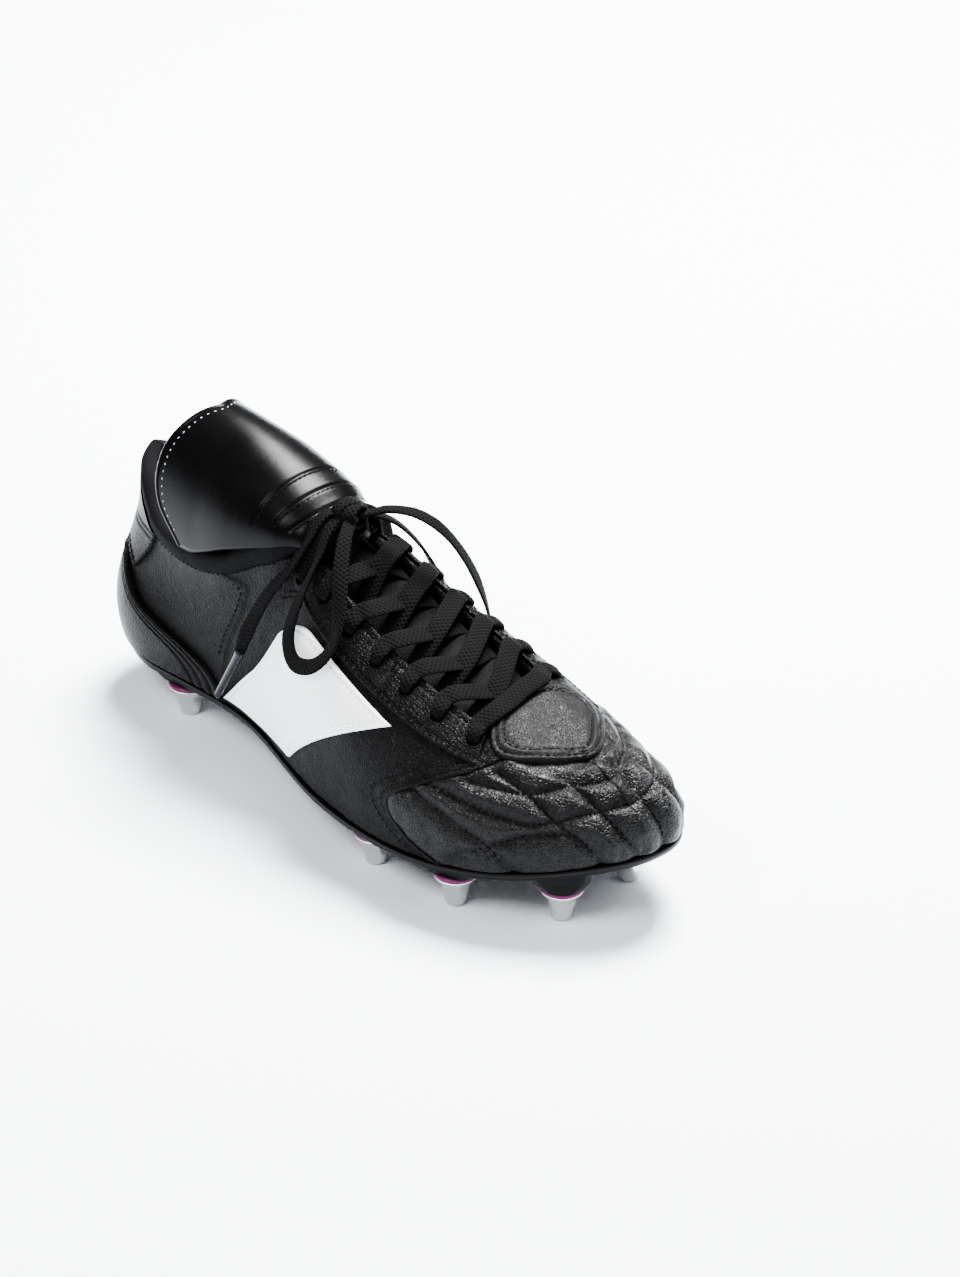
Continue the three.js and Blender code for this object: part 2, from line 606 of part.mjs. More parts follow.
// Padded roll round the foot opening.
function collarRoll() {
  const RINGS = 34;
  const rings = Array.from({ length: RINGS + 1 }, (_, i) => {
    const angle = wrapAngle(lerp(COLLAR_START + 2, 360 - COLLAR_START - 2, i / RINGS));
    const centre = upperPoint(angle, 1, -COLLAR_ROLL);
    const outward = faceNormal(angle, 1);
    const up = upperFace(angle, 1).sub(upperFace(angle, 0.95)).normalize();
    return Array.from({ length: 8 }, (__, k) => {
      const turn = (2 * Math.PI * k) / 8;
      return centre.clone().addScaledVector(outward, COLLAR_ROLL * Math.cos(turn))
        .addScaledVector(up, -COLLAR_ROLL * Math.sin(turn));
    });
  });
  return loft(rings);
}
addPart('collar_roll', collarRoll(), foam);

// ---------------------------------------------------------------- tongue
const TONGUE_FRONT_X = along(0.74);
addPart('tongue', sheet(14, 6, (u, v, face) => {
  const x = lerp(FLAP_HINGE_X + TONGUE_GAP, TONGUE_FRONT_X, u ** 1.6);
  const half = lerp(TONGUE_HALF_WIDTH.top, TONGUE_HALF_WIDTH.base, Math.min(1, 3 * u ** 1.6));
  const y = centreLine(x) + lerp(-1, 1, v) * half;
  const depth = lerp(FLAP_MOUTH, TONGUE_DEPTH,
    THREE.MathUtils.smoothstep(x, FLAP_HINGE_X, FLAP_HINGE_X + TONGUE_STEP));
  return overRidge(x, y, -depth - (face ? 0 : TONGUE_THICKNESS));
}), glossLeather);

// Upper end of the tongue: a wide arch of leather that stands over the foot opening.
const flapCrest = smooth([[along(0.144), 127.5], [along(0.217), 126], [along(0.289), 122.5],
  [along(0.375), 115.5], [FLAP_HINGE_X, 110]]);
const flapHalf = smooth([[along(0.144), 27], [along(0.217), 28], [along(0.289), 27.5],
  [along(0.375), 23], [FLAP_HINGE_X, 20]]);
const flapBase = smooth([[along(0.144), 80], [along(0.217), 79], [along(0.253), 83],
  [along(0.289), 88], [along(0.375), 97], [FLAP_HINGE_X, 100]]);
const flapRear = smooth([[0, along(0.173)], [0.3, along(0.1534)], [0.6, along(0.1372)],
  [0.85, along(0.148)], [1, along(0.195)]]);

addPart('tongue_flap', sheet(10, 14, (u, v, face) => {
  const across = lerp(-1, 1, v);
  const x = lerp(flapRear(Math.abs(across)), FLAP_HINGE_X - FIT_GAP, u);
  const turn = (across * Math.PI) / 2;
  const inset = face ? 0 : FLAP_THICKNESS;
  const y = centreLine(x) + (flapHalf(x) - inset) * Math.sin(turn);
  const rise = flapCrest(x) - flapBase(x) - inset;
  return new THREE.Vector3(x, y, flapBase(x) + rise * Math.max(Math.cos(turn), 0) ** 0.9);
}), glossLeather);

// ---------------------------------------------------------------- lace
const LACE_UNDER = -6.3;           // depth of the lace where it runs under an eyestay
const LACE_OVER = 3.6;             // height of the lace over an eyestay
const KNOT = { x: along(0.4404), y: -0.5, z: 111, along: 7, across: 7, high: 5 };

const labelOf = (side) => (side > 0 ? 'medial' : 'lateral');
const eyeletFace = (side, i) => upperFace(eyelets[labelOf(side)][i],
  eyeletHeight(eyelets[labelOf(side)][i]));

// One half of the lace: down through an eyelet, under the eyestay, across the tongue and over the
// other eyestay to the next eyelet.  At the last one it comes up from below and runs to the knot.
function laceHalf(startSide, crossing) {
  const last = EYELET_COUNT - 1;
  const points = [];
  for (let i = 0; i < last; i += 1) {
    const side = startSide * (-1) ** i;
    const near = eyelets[labelOf(side)];
    const far = eyelets[labelOf(-side)];
    const leaving = lerp(near[i], near[i + 1], 0.3);
    const arriving = lerp(far[i], far[i + 1], 0.75);
    const middle = [-1, 1].reduce((sum, s) => sum + eyeletFace(s, i).x + eyeletFace(s, i + 1).x, 0)
      / 4;
    const level = i + 1 < last ? LACE_OVER : LACE_UNDER;
    points.push(
      upperPoint(near[i], eyeletHeight(near[i]), -1.5),
      upperPoint(near[i], eyeletHeight(near[i]) + 0.02, LACE_UNDER),
      upperPoint(leaving, quarterTop(Math.abs(leaving)) + 0.05, LACE_UNDER),
      overRidge(middle, centreLine(middle), crossing),
      upperPoint(arriving, quarterTop(Math.abs(arriving)) + 0.03, level),
      upperPoint(far[i + 1], eyeletHeight(far[i + 1]) + 0.02, level * 0.95),
    );
  }
  const side = startSide * (-1) ** last;
  const top = eyelets[labelOf(side)][last];
  points.push(
    upperPoint(top, eyeletHeight(top), -1.5),
    upperPoint(top, eyeletHeight(top) + 0.02, LACE_OVER),
    new THREE.Vector3(KNOT.x - 3, side * 13, KNOT.z - 8),
    new THREE.Vector3(KNOT.x - 4.8, side * 4.4, KNOT.z - 4.1),
  );
  return points;
}

function lacePath() {
  const ends = [eyeletFace(-1, 0), eyeletFace(1, 0)];
  const bar = [-0.74, -0.37, 0, 0.37, 0.74].map((share) => {
    const x = lerp(ends[0].x, ends[1].x, (share + 1) / 2);
    return overRidge(x, lerp(ends[0].y, ends[1].y, (share + 1) / 2), LACE_OVER + 1);
  });
  const above = (label) => upperPoint(eyelets[label][0], eyeletHeight(eyelets[label][0]) + 0.01,
    LACE_OVER);
  return [...laceHalf(-1, 0.3).reverse(), above('lateral'), ...bar, above('medial'),
    ...laceHalf(1, -2.5)];
}
const laceRoute = lacePath();
addPart('lace', tube(laceRoute.map((p) => p.toArray()), LACE_RADIUS,
  2 * (laceRoute.length - 1), 6, false), webbing);

addPart('lace_knot', new THREE.SphereGeometry(1, 14, 9).rotateX(Math.PI / 2)
  .scale(KNOT.along, KNOT.across, KNOT.high).translate(KNOT.x, KNOT.y, KNOT.z), webbing);

// Free lace: two bow loops that come back to the knot, and two ends.  X runs from the knot.
const looseLace = {
  lace_loop_lateral: [[-0.3, -7.7, 109.5], [0.5, -13.5, 105.5], [2.5, -19, 99.5],
    [2.7, -24.6, 91.5], [2, -31, 80], [4, -35.6, 71], [12, -39.2, 66.5],
    [22.5, -38.8, 70], [27.6, -34, 79], [24.5, -28, 89.5], [17.5, -21, 99.5],
    [11, -13.5, 106.5], [6.2, -7, 109.6]],
  lace_loop_medial: [[7, 4, 112], [12, 8.5, 113.8], [21, 14, 113.5], [29, 19.5, 108],
    [34, 25.5, 97], [37, 30.5, 84], [38, 34.5, 70], [34, 38.2, 58], [26, 39.8, 53],
    [18, 38.6, 58], [14, 35.4, 68], [12, 31, 80], [10, 25, 92], [7, 16.5, 103],
    [3.5, 8, 108.5]],
  lace_end_lateral: [[-5, -7, 111.2], [-6, -12, 108], [-6.5, -17.4, 101], [-9.5, -23, 91],
    [-15.4, -27, 81.4], [-20.2, -29.4, 71.8], [-24.8, -31.6, 60.6], [-28.8, -32.8, 49.3]],
  lace_end_medial: [[-2.5, 8, 110], [-4, 14, 105.5], [-6, 20, 98.5], [-10, 26, 88],
    [-15, 30.4, 77], [-20, 32.6, 66], [-24, 33.8, 55]],
};
const fromKnot = ([x, y, z]) => [KNOT.x + x, y * WIDTH_SCALE, z];
for (const [name, route] of Object.entries(looseLace)) {
  addPart(name, tube(route.map(fromKnot), LACE_RADIUS, name.includes('loop') ? 26 : 16), webbing);
}

// Aglets: the stiff tips on the two ends, in line with them.
const AGLET_LENGTH = 26;
const agletTips = { lateral: [-42, -33.6, 25], medial: [-32, 34.2, 31] };
for (const [label, tip] of Object.entries(agletTips)) {
  const route = looseLace[`lace_end_${label}`];
  const start = new THREE.Vector3(...fromKnot(route[route.length - 1]));
  const direction = new THREE.Vector3(...fromKnot(tip)).sub(start).normalize();
  const from = start.addScaledVector(direction, FIT_GAP);
  const to = from.clone().addScaledVector(direction, AGLET_LENGTH);
  addPart(`aglet_${label}`, tube([from.toArray(), to.toArray()], AGLET_RADIUS, 1, 10), aglet);
}

// The origin goes under the middle of the box round everything but the free lace.
shoe.updateMatrixWorld(true);
const box = new THREE.Box3();
for (const mesh of shoe.children) {
  if (!(mesh.name in looseLace) && !mesh.name.startsWith('aglet_')) box.expandByObject(mesh);
}
const origin = box.getCenter(new THREE.Vector3()).setZ(box.min.z);
for (const mesh of shoe.children) mesh.position.sub(origin);

export default shoe;
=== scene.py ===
"""Looks of the soccer cleat: leather, stitching, lace, collar, sole and studs.

Lengths are in millimetres in the shoe's own axes (x from the heel to the toe, +y medial, z up from
the ground), and place() turns them into the frame's metres.
"""
import math

import bmesh
import bpy
import numpy as np
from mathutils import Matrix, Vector


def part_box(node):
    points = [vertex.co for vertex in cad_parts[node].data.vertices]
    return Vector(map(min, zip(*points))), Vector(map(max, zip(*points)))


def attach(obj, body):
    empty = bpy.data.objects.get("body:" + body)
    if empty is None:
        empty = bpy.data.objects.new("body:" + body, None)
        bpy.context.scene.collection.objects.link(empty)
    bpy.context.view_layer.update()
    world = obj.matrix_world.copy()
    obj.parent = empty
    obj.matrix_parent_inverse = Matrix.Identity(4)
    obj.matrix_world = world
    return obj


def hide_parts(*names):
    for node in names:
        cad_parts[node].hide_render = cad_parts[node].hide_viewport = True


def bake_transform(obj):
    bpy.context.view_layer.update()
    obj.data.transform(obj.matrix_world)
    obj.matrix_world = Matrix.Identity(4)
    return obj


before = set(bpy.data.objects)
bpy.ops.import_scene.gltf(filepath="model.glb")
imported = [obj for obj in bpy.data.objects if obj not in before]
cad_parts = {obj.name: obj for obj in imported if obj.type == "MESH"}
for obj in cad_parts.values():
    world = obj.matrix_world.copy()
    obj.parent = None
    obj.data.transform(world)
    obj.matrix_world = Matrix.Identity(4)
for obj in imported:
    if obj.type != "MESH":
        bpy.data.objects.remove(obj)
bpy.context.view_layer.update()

# ------------------------------------------------------------------ driving dimensions
SHOE_LENGTH = 277.0
HEEL_AXIS_X = 0.1227 * SHOE_LENGTH
TOE_AXIS_X = 0.852 * SHOE_LENGTH
FAN_SKEW = 0.52
THROAT_EDGE = 0.74
COLLAR_EDGE = 0.948
COLLAR_START = 104.0
EYELET_COUNT = 7
EYELET_FIRST_X = {-1: 0.7726 * SHOE_LENGTH, 1: 0.74 * SHOE_LENGTH}
EYELET_PITCH = {-1: 0.0585 * SHOE_LENGTH, 1: 0.0542 * SHOE_LENGTH}
EYELET_HEIGHT = 0.635
EYELET_RADIUS = 2.1
HINGE_X = 0.4043 * SHOE_LENGTH
KNOT = np.array([0.4404 * SHOE_LENGTH, -0.5, 111.0])
LACE_WIDTH = 6.6
LACE_THICKNESS = 1.3
STRAP_WIDTH = 7.6                  # the lace pulled flat across the throat
SIDE_NAME = {-1: "lateral", 1: "medial"}
STUDS = {
    "heel_lateral": (0.175, -20.5), "heel_medial": (0.175, 19.5),
    "rear_lateral": (0.64, -38.5), "rear_medial": (0.61, 32.0),
    "middle_lateral": (0.786, -35.5), "middle_medial": (0.765, 35.0),
    "front_lateral": (0.907, -13.8), "front_medial": (0.9, 22.0),
}


def centre_of(node):
    low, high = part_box(node)
    return (np.array(low) + np.array(high)) / 2


def along(share):
    return SHOE_LENGTH * share


FRAME_SHIFT = centre_of("stud_post_heel_lateral") * [1, 1, 0] - np.array(
    [along(STUDS["heel_lateral"][0]), STUDS["heel_lateral"][1], 0]) / 1000


def place(points):
    """Millimetres in the shoe's axes to metres in the frame."""
    return np.asarray(points, float) / 1000 + FRAME_SHIFT


# ------------------------------------------------------------------ curves and noise
def smooth(pairs):
    """Curve through (x, value) pairs, flat outside them."""
    xs = np.array([pair[0] for pair in pairs], float)
    ys = np.array([pair[1] for pair in pairs], float)
    last = len(xs) - 1
    before = np.maximum(np.arange(last + 1) - 1, 0)
    after = np.minimum(np.arange(last + 1) + 1, last)
    slope = (ys[after] - ys[before]) / (xs[after] - xs[before])

    def value(x):
        x = np.clip(x, xs[0], xs[-1])
        i = np.clip(np.searchsorted(xs, x, side="right") - 1, 0, last - 1)
        h = xs[i + 1] - xs[i]
        t = (x - xs[i]) / h
        return ((2 * t**3 - 3 * t * t + 1) * ys[i] + (t**3 - 2 * t * t + t) * h * slope[i]
                + (3 * t * t - 2 * t**3) * ys[i + 1] + (t**3 - t * t) * h * slope[i + 1])
    return value


def step(x, low, high):
    t = np.clip((np.asarray(x, float) - low) / (high - low), 0, 1)
    return t * t * (3 - 2 * t)


def mix(a, b, t):
    return a * (1 - t) + b * t


def unit(vectors):
    return vectors / np.maximum(np.linalg.norm(vectors, axis=-1, keepdims=True), 1e-9)


def spline(points, count):
    """Smooth open curve through given points, evenly spaced."""
    points = np.asarray(points, float)
    padded = np.vstack([2 * points[0] - points[1], points, 2 * points[-1] - points[-2]])
    t = np.linspace(0, 1, 24, endpoint=False)[:, None]
    out = []
    for a, b, c, d in zip(padded, padded[1:], padded[2:], padded[3:]):
        out.append(0.5 * (2 * b + (c - a) * t + (2 * a - 5 * b + 4 * c - d) * t**2
                          + (3 * b - a - 3 * c + d) * t**3))
    dense = np.vstack(out + [points[-1:]])
    return resample(dense, count)


def resample(points, count):
    reach = np.concatenate([[0], np.cumsum(np.linalg.norm(np.diff(points, axis=0), axis=1))])
    at = np.linspace(0, reach[-1], count)
    return np.stack([np.interp(at, reach, points[:, k]) for k in range(points.shape[1])], 1)


def length_of(points):
    return float(np.linalg.norm(np.diff(points, axis=0), axis=1).sum())


NOISE_CELLS = 32                   # cells after which the noise repeats
NOISE_TABLE = np.random.default_rng(7).random((NOISE_CELLS,) * 3)


def noise(points, size):
    """Value noise from -1 to 1 with blobs of the given size in millimetres."""
    p = np.asarray(points, float) / size
    cell = np.floor(p).astype(int)
    t = p - cell
    t = t * t * (3 - 2 * t)
    total = 0
    for corner in np.ndindex(2, 2, 2):
        weight = np.ones(p.shape[:-1])
        index = []
        for k in range(3):
            weight = weight * (t[..., k] if corner[k] else 1 - t[..., k])
            index.append((cell[..., k] + corner[k]) % NOISE_CELLS)
        total = total + weight * NOISE_TABLE[tuple(index)]
    return 2 * total - 1


# ------------------------------------------------------------------ plan and surface of the upper
centre_line = smooth([(0, 0), (along(.22), 0), (along(.5), -1), (along(.72), 0), (along(.87), 4.5),
                      (along(1), 13)])
lateral_half = smooth([(0, 29), (along(.11), 30.5), (along(.32), 28.5), (along(.54), 44.5),
                       (along(.69), 48.6), (along(.87), 45.5), (along(1), 40)])
medial_half = smooth([(0, 28), (along(.11), 29.5), (along(.34), 29), (along(.54), 40),
                      (along(.69), 46), (along(.87), 42.5), (along(1), 38)])
feather_line = smooth([(0, 21), (along(.15), 20), (along(.4), 19), (along(.69), 19),
                       (along(.85), 22), (along(1), 30)])
ridge_line = smooth([(along(.343), 116.5), (along(.397), 111), (along(.4693), 100.5),
                     (along(.5776), 85.5), (along(.686), 73.5), (along(.776), 64.5),
                     (TOE_AXIS_X, 57.5)])
collar_lateral = smooth([(90, 108), (100, 102), (110, 93), (120, 81), (133, 75.5), (148, 77),
                         (163, 88), (180, 94)])
collar_medial = smooth([(90, 108), (100, 103), (110, 96), (120, 86), (133, 79), (148, 79),
                        (163, 88), (180, 94)])
collar_reach = smooth([(90, 16), (100, 19), (112, 23), (125, 27), (145, 27), (163, 26), (180, 28)])
HEEL_ROUND = along(0.1372)
TOE_ROUND = along(0.296)
HEEL_POWER = 2.3                   # 2 is an ellipse, and more is squarer
TOE_POWER = 2.25
EDGE_HALVINGS = 24
PLAN_HALVINGS = 26


def rounded_ends(x):
    heel = np.clip((HEEL_ROUND - x) / HEEL_ROUND, 0, 1)
    toe = np.clip((x - SHOE_LENGTH + TOE_ROUND) / TOE_ROUND, 0, 1)
    return ((1 - heel**HEEL_POWER) ** (1 / HEEL_POWER)
            * (1 - toe**TOE_POWER) ** (1 / TOE_POWER))


def rib_base(angle):
    turn = np.radians(angle)
    x = (HEEL_AXIS_X + TOE_AXIS_X) / 2 + (TOE_AXIS_X - HEEL_AXIS_X) / 2 * np.cos(turn)
    out = unit(np.stack([FAN_SKEW * np.cos(turn), np.sin(turn)], -1))
    return x, centre_line(x), out


def rib_reach(angle):
    """Distance from the base of a rib to the edge of the sole."""
    x, y, out = rib_base(angle)
    low = np.zeros_like(x)
    high = np.full_like(x, 90.0)
    for _ in range(EDGE_HALVINGS):
        middle = (low + high) / 2
        px = x + out[..., 0] * middle
        across = y + out[..., 1] * middle - centre_line(px)
        half = np.where(across > 0, medial_half(px), lateral_half(px)) * rounded_ends(px)
        inside = (px > 0) & (px < SHOE_LENGTH) & (np.abs(across) < half)
        low = np.where(inside, middle, low)
        high = np.where(inside, high, middle)
    return low


def rib_controls(angle, closed):
    x, _, out = rib_base(angle)
    size = np.abs(angle)
    reach = rib_reach(angle)
    foot = feather_line(x + out[..., 0] * reach)
    heel = step(size, 120, 165)
    edge = reach - 1 - 2 * heel
    top = ridge_line(x)
    full = np.where(angle > 0, 0.6, 0.5)
    ridge = [(edge, foot), (reach + 2.5, foot + 0.6 * (top - foot)),
             (full * reach, top + 2 * (full - 0.25)), (0 * reach, top)]
    rim = np.where(angle > 0, collar_medial(size), collar_lateral(size))
    rise = rim - foot
    rim_reach = collar_reach(size)
    collar = [(edge, foot), (reach + 3.5 + 4 * heel, foot + 0.45 * rise),
              (rim_reach - 1, rim - 0.45 * rise), (rim_reach, rim)]
    blend = 0 if closed else step(size, 90, 108)
    return [(mix(a[0], b[0], blend), mix(a[1], b[1], blend)) for a, b in zip(ridge, collar)]


def along_rib(controls, share):
    """Reach and height of a rib's cubic curve at a share of the way up."""
    weights = [(1 - share)**3, 3 * (1 - share)**2 * share, 3 * (1 - share) * share**2, share**3]
    reach = sum(weight * control[0] for weight, control in zip(weights, controls))
    height = sum(weight * control[1] for weight, control in zip(weights, controls))
    return reach, height


def face(angle, share, closed=False):
    """Point on the outside of the upper at a rib angle and a share of the way up the rib."""
    angle, share = np.broadcast_arrays(np.asarray(angle, float), np.asarray(share, float))
    angle = np.where(angle > 180, angle - 360, np.where(angle < -180, angle + 360, angle))
    x, y, out = rib_base(angle)
    distance, height = along_rib(rib_controls(angle, closed), share)
    return np.stack([x + out[..., 0] * distance, y + out[..., 1] * distance, height], -1)


def normal(angle, share, closed=False):
    angle, share = np.broadcast_arrays(np.asarray(angle, float), np.asarray(share, float))
    level = np.clip(share, 0.02, 0.96)

    def raw(a):
        round_way = face(a + 1.5, level, closed) - face(a - 1.5, level, closed)
        up_way = face(a, level + 0.02, closed) - face(a, level - 0.02, closed)
        return unit(np.cross(round_way, up_way))
    own = raw(angle)
    ridge = ((share > 0.999) & (np.abs(angle) < 90))[..., None]
    return np.where(ridge, unit(own + raw(-angle)), own)


def skin(angle, share, offset, closed=False):
    offset = np.asarray(offset, float)
    return face(angle, share, closed) + normal(angle, share, closed) * offset[..., None]


def over_ridge(x, y, offset=0.0):
    """Point and normal above a place in plan, on the instep closed up to its ridge."""
    x, y = np.broadcast_arrays(np.asarray(x, float), np.asarray(y, float))
    sign = np.where(y > centre_line(x), 1.0, -1.0)
    near = np.full(x.shape, 0.5)
    far = np.full(x.shape, 120.0)
    for _ in range(PLAN_HALVINGS):
        middle = (near + far) / 2
        bx, by, out = rib_base(sign * middle)
        cross = out[..., 0] * (y - by) - out[..., 1] * (x - bx)
        inner = cross * sign > 0
        near = np.where(inner, middle, near)
        far = np.where(inner, far, middle)
    angle = sign * (near + far) / 2
    bx, by, out = rib_base(angle)
    distance = np.hypot(x - bx, y - by)
    controls = rib_controls(angle, True)
    low = np.full(x.shape, 0.2)
    high = np.ones(x.shape)
    for _ in range(PLAN_HALVINGS):
        middle = (low + high) / 2
        outside = along_rib(controls, middle)[0] > distance
        low = np.where(outside, middle, low)
        high = np.where(outside, high, middle)
    share = (low + high) / 2
    facing = normal(angle, share, True)
    return face(angle, share, True) + facing * np.asarray(offset, float)[..., None], facing


vamp_seam = smooth([(0, 52), (.09, 60), (.19, 64.5), (.3, 60), (.53, 46), (THROAT_EDGE, 38),
                    (1, 36)])


def collar_share(angle):
    return step(np.abs(angle), 90, 108)


def quarter_top(angle):
    return mix(THROAT_EDGE, COLLAR_EDGE, collar_share(angle))


def eyelet_height(angle):
    return EYELET_HEIGHT * quarter_top(angle) / THROAT_EDGE


def eyelet_angles(side):
    sizes = np.linspace(30, 110, 1601)
    xs = face(side * sizes, eyelet_height(sizes))[:, 0]
    wanted = EYELET_FIRST_X[side] - EYELET_PITCH[side] * np.arange(EYELET_COUNT)
    return side * np.interp(-wanted, -xs, sizes)


EYELETS = {side: eyelet_angles(side) for side in (-1, 1)}


# ------------------------------------------------------------------ materials
def node(tree, kind, **values):
    made = tree.nodes.new(kind)
    for key, value in values.items():
        if key in made.inputs:
            made.inputs[key].default_value = value
        else:
            setattr(made, key, value)
    return made


def material(name, color, roughness, **extra):
    """A Principled material and its tree; extra sets further shader sockets by name."""
    made = bpy.data.materials.new(name)
    made.use_nodes = True
    shader = made.node_tree.nodes["Principled BSDF"]
    shader.inputs["Base Color"].default_value = (*color, 1)
    shader.inputs["Roughness"].default_value = roughness
    for key, value in extra.items():
        shader.inputs[key.replace("_", " ")].default_value = value
    return made, made.node_tree, shader


def millimetres(tree):
    """Object coordinates in millimetres, so that grain sizes read as real sizes."""
    source = node(tree, "ShaderNodeTexCoord")
    scaled = node(tree, "ShaderNodeVectorMath", operation="SCALE")
    scaled.inputs["Scale"].default_value = 1000
    tree.links.new(source.outputs["Object"], scaled.inputs[0])
    return scaled.outputs[0]


def noise_field(tree, coords, size, detail=3.0, rough=0.55):
    made = node(tree, "ShaderNodeTexNoise", Scale=1 / size, Detail=detail, Roughness=rough)
    tree.links.new(coords, made.inputs["Vector"])
    return made.outputs["Fac"]


def remap(tree, value, low, high):
    made = node(tree, "ShaderNodeMapRange")
    made.inputs["To Min"].default_value = low
    made.inputs["To Max"].default_value = high
    tree.links.new(value, made.inputs["Value"])
    return made.outputs["Result"]


def add_bump(tree, shader, height, strength, distance_mm, before=None):
    made = node(tree, "ShaderNodeBump", Strength=strength, Distance=distance_mm / 1000)
    tree.links.new(height, made.inputs["Height"])
    if before is not None:
        tree.links.new(before, made.inputs["Normal"])
    tree.links.new(made.outputs["Normal"], shader.inputs["Normal"])
    return made.outputs["Normal"]


def two_tones(tree, shader, first, second, factor):
    """Base colour that goes from the first tone to the second."""
    tone = node(tree, "ShaderNodeMix", data_type="RGBA")
    tone.inputs[6].default_value = (*first, 1)
    tone.inputs[7].default_value = (*second, 1)
    tree.links.new(factor, tone.inputs["Factor"])
    tree.links.new(tone.outputs[2], shader.inputs["Base Color"])


def math_node(tree, operation, first, second):
    """Math node of an output and either another output or a number."""
    made = node(tree, "ShaderNodeMath", operation=operation)
    tree.links.new(first, made.inputs[0])
    if isinstance(second, (int, float)):
        made.inputs[1].default_value = second
    else:
        tree.links.new(second, made.inputs[1])
    return made.outputs[0]


def waves(tree, run, pitch_mm):
    """Sine of a run in mm, one wave for each pitch."""
    turns = math_node(tree, "MULTIPLY", run, 2 * math.pi / pitch_mm)
    wave = node(tree, "ShaderNodeMath", operation="SINE")
    tree.links.new(turns, wave.inputs[0])
    return wave.outputs[0]


def leather(name, color, worn, roughness, grain, grain_depth, crease=0.25, **extra):
    """Grained leather: pebbles of the given size, soft creases and slightly polished high spots."""
    made, tree, shader = material(name, color, roughness, **extra)
    coords = millimetres(tree)
    bent = node(tree, "ShaderNodeVectorMath", operation="MULTIPLY_ADD")
    bent.inputs[1].default_value = (0.9, 0.9, 0.9)
    wobble = node(tree, "ShaderNodeTexNoise", Scale=0.6, Detail=2.0)
    tree.links.new(coords, wobble.inputs["Vector"])
    tree.links.new(wobble.outputs["Color"], bent.inputs[0])
    tree.links.new(coords, bent.inputs[2])
    cells = node(tree, "ShaderNodeTexVoronoi", Scale=1 / grain, feature="DISTANCE_TO_EDGE")
    tree.links.new(bent.outputs[0], cells.inputs["Vector"])
    pebble = node(tree, "ShaderNodeMapRange", interpolation_type="SMOOTHSTEP")
    pebble.inputs["From Max"].default_value = 0.28
    tree.links.new(cells.outputs["Distance"], pebble.inputs["Value"])
    folds = noise_field(tree, coords, 5.0, 4.0, 0.6)
    patch = noise_field(tree, coords, 14.0, 3.0)
    first = add_bump(tree, shader, folds, crease, 1.0)
    add_bump(tree, shader, pebble.outputs["Result"], 1.0, grain_depth, first)
    two_tones(tree, shader, color, worn, patch)
    tree.links.new(remap(tree, patch, roughness - 0.07, roughness + 0.09),
                   shader.inputs["Roughness"])
    return made


def fabric(name, color, light, cell, depth, roughness=0.85, **extra):
    """Knitted mesh or fibre: small open cells over a fuzzy ground."""
    made, tree, shader = material(name, color, roughness, **extra)
    coords = millimetres(tree)
    cells = node(tree, "ShaderNodeTexVoronoi", Scale=1 / cell, Randomness=0.25)
    tree.links.new(coords, cells.inputs["Vector"])
    fuzz = noise_field(tree, coords, 0.5, 3.0)
    first = add_bump(tree, shader, fuzz, 0.5, depth / 2)
    add_bump(tree, shader, cells.outputs["Distance"], 0.9, depth, first)
    two_tones(tree, shader, light, color, cells.outputs["Distance"])
    return made


BRAID_SLANT = 0.75                 # mm across for each mm along the lace


def woven(name, color, light, pitch_mm, roughness=0.8):
    """Flat braid: two sets of slanted strand rows, from a map with u across and v along in mm. Its
    base colour is darker in the gaps between the raised threads and lighter on them, which is
    painted shade.
    """
    made, tree, shader = material(name, color, roughness, Specular_IOR_Level=0.025)
    uv = node(tree, "ShaderNodeUVMap")
    split = node(tree, "ShaderNodeSeparateXYZ")
    tree.links.new(uv.outputs["UV"], split.inputs[0])
    heights = []
    for slant in (BRAID_SLANT, -BRAID_SLANT):
        across = math_node(tree, "MULTIPLY", split.outputs["X"], slant)
        heights.append(waves(tree, math_node(tree, "ADD", across, split.outputs["Y"]), pitch_mm))
    strand_height_and_painted_shade = remap(tree, math_node(tree, "MAXIMUM", *heights), 0, 1)
    coords = millimetres(tree)
    fibre = noise_field(tree, coords, 0.35, 3.0)
    first = add_bump(tree, shader, fibre, 0.5, 0.15)
    add_bump(tree, shader, strand_height_and_painted_shade, 0.9, 0.28, first)
    # Painted shade: the first, darker tone fills the gaps of the braid and the second, lighter tone
    # sits on its raised threads.
    two_tones(tree, shader, color, light, strand_height_and_painted_shade)
    return made


def moulded(name, color, roughness, stipple, depth, **extra):
    """Moulded plastic with a fine spark-eroded stipple and faint flow marks."""
    made, tree, shader = material(name, color, roughness, **extra)
    coords = millimetres(tree)
    grain = noise_field(tree, coords, stipple, 2.0)
    add_bump(tree, shader, grain, 0.6, depth)
    flow = noise_field(tree, coords, 22.0, 2.0)
    tree.links.new(remap(tree, flow, roughness - 0.06, roughness + 0.08),
                   shader.inputs["Roughness"])
    return made


def turned_metal(name, color, roughness, ring_mm):
    """Turned metal: fine rings up the stud and light handling marks."""
    made, tree, shader = material(name, color, roughness, Metallic=1.0)
    coords = millimetres(tree)
    split = node(tree, "ShaderNodeSeparateXYZ")
    tree.links.new(coords, split.inputs[0])
    first = add_bump(tree, shader, waves(tree, split.outputs["Z"], ring_mm), 0.25, 0.02)
    scuffs = noise_field(tree, coords, 1.4, 5.0, 0.7)
    add_bump(tree, shader, scuffs, 0.25, 0.1, first)
    tree.links.new(remap(tree, scuffs, roughness - 0.08, roughness + 0.14),
                   shader.inputs["Roughness"])
    return made


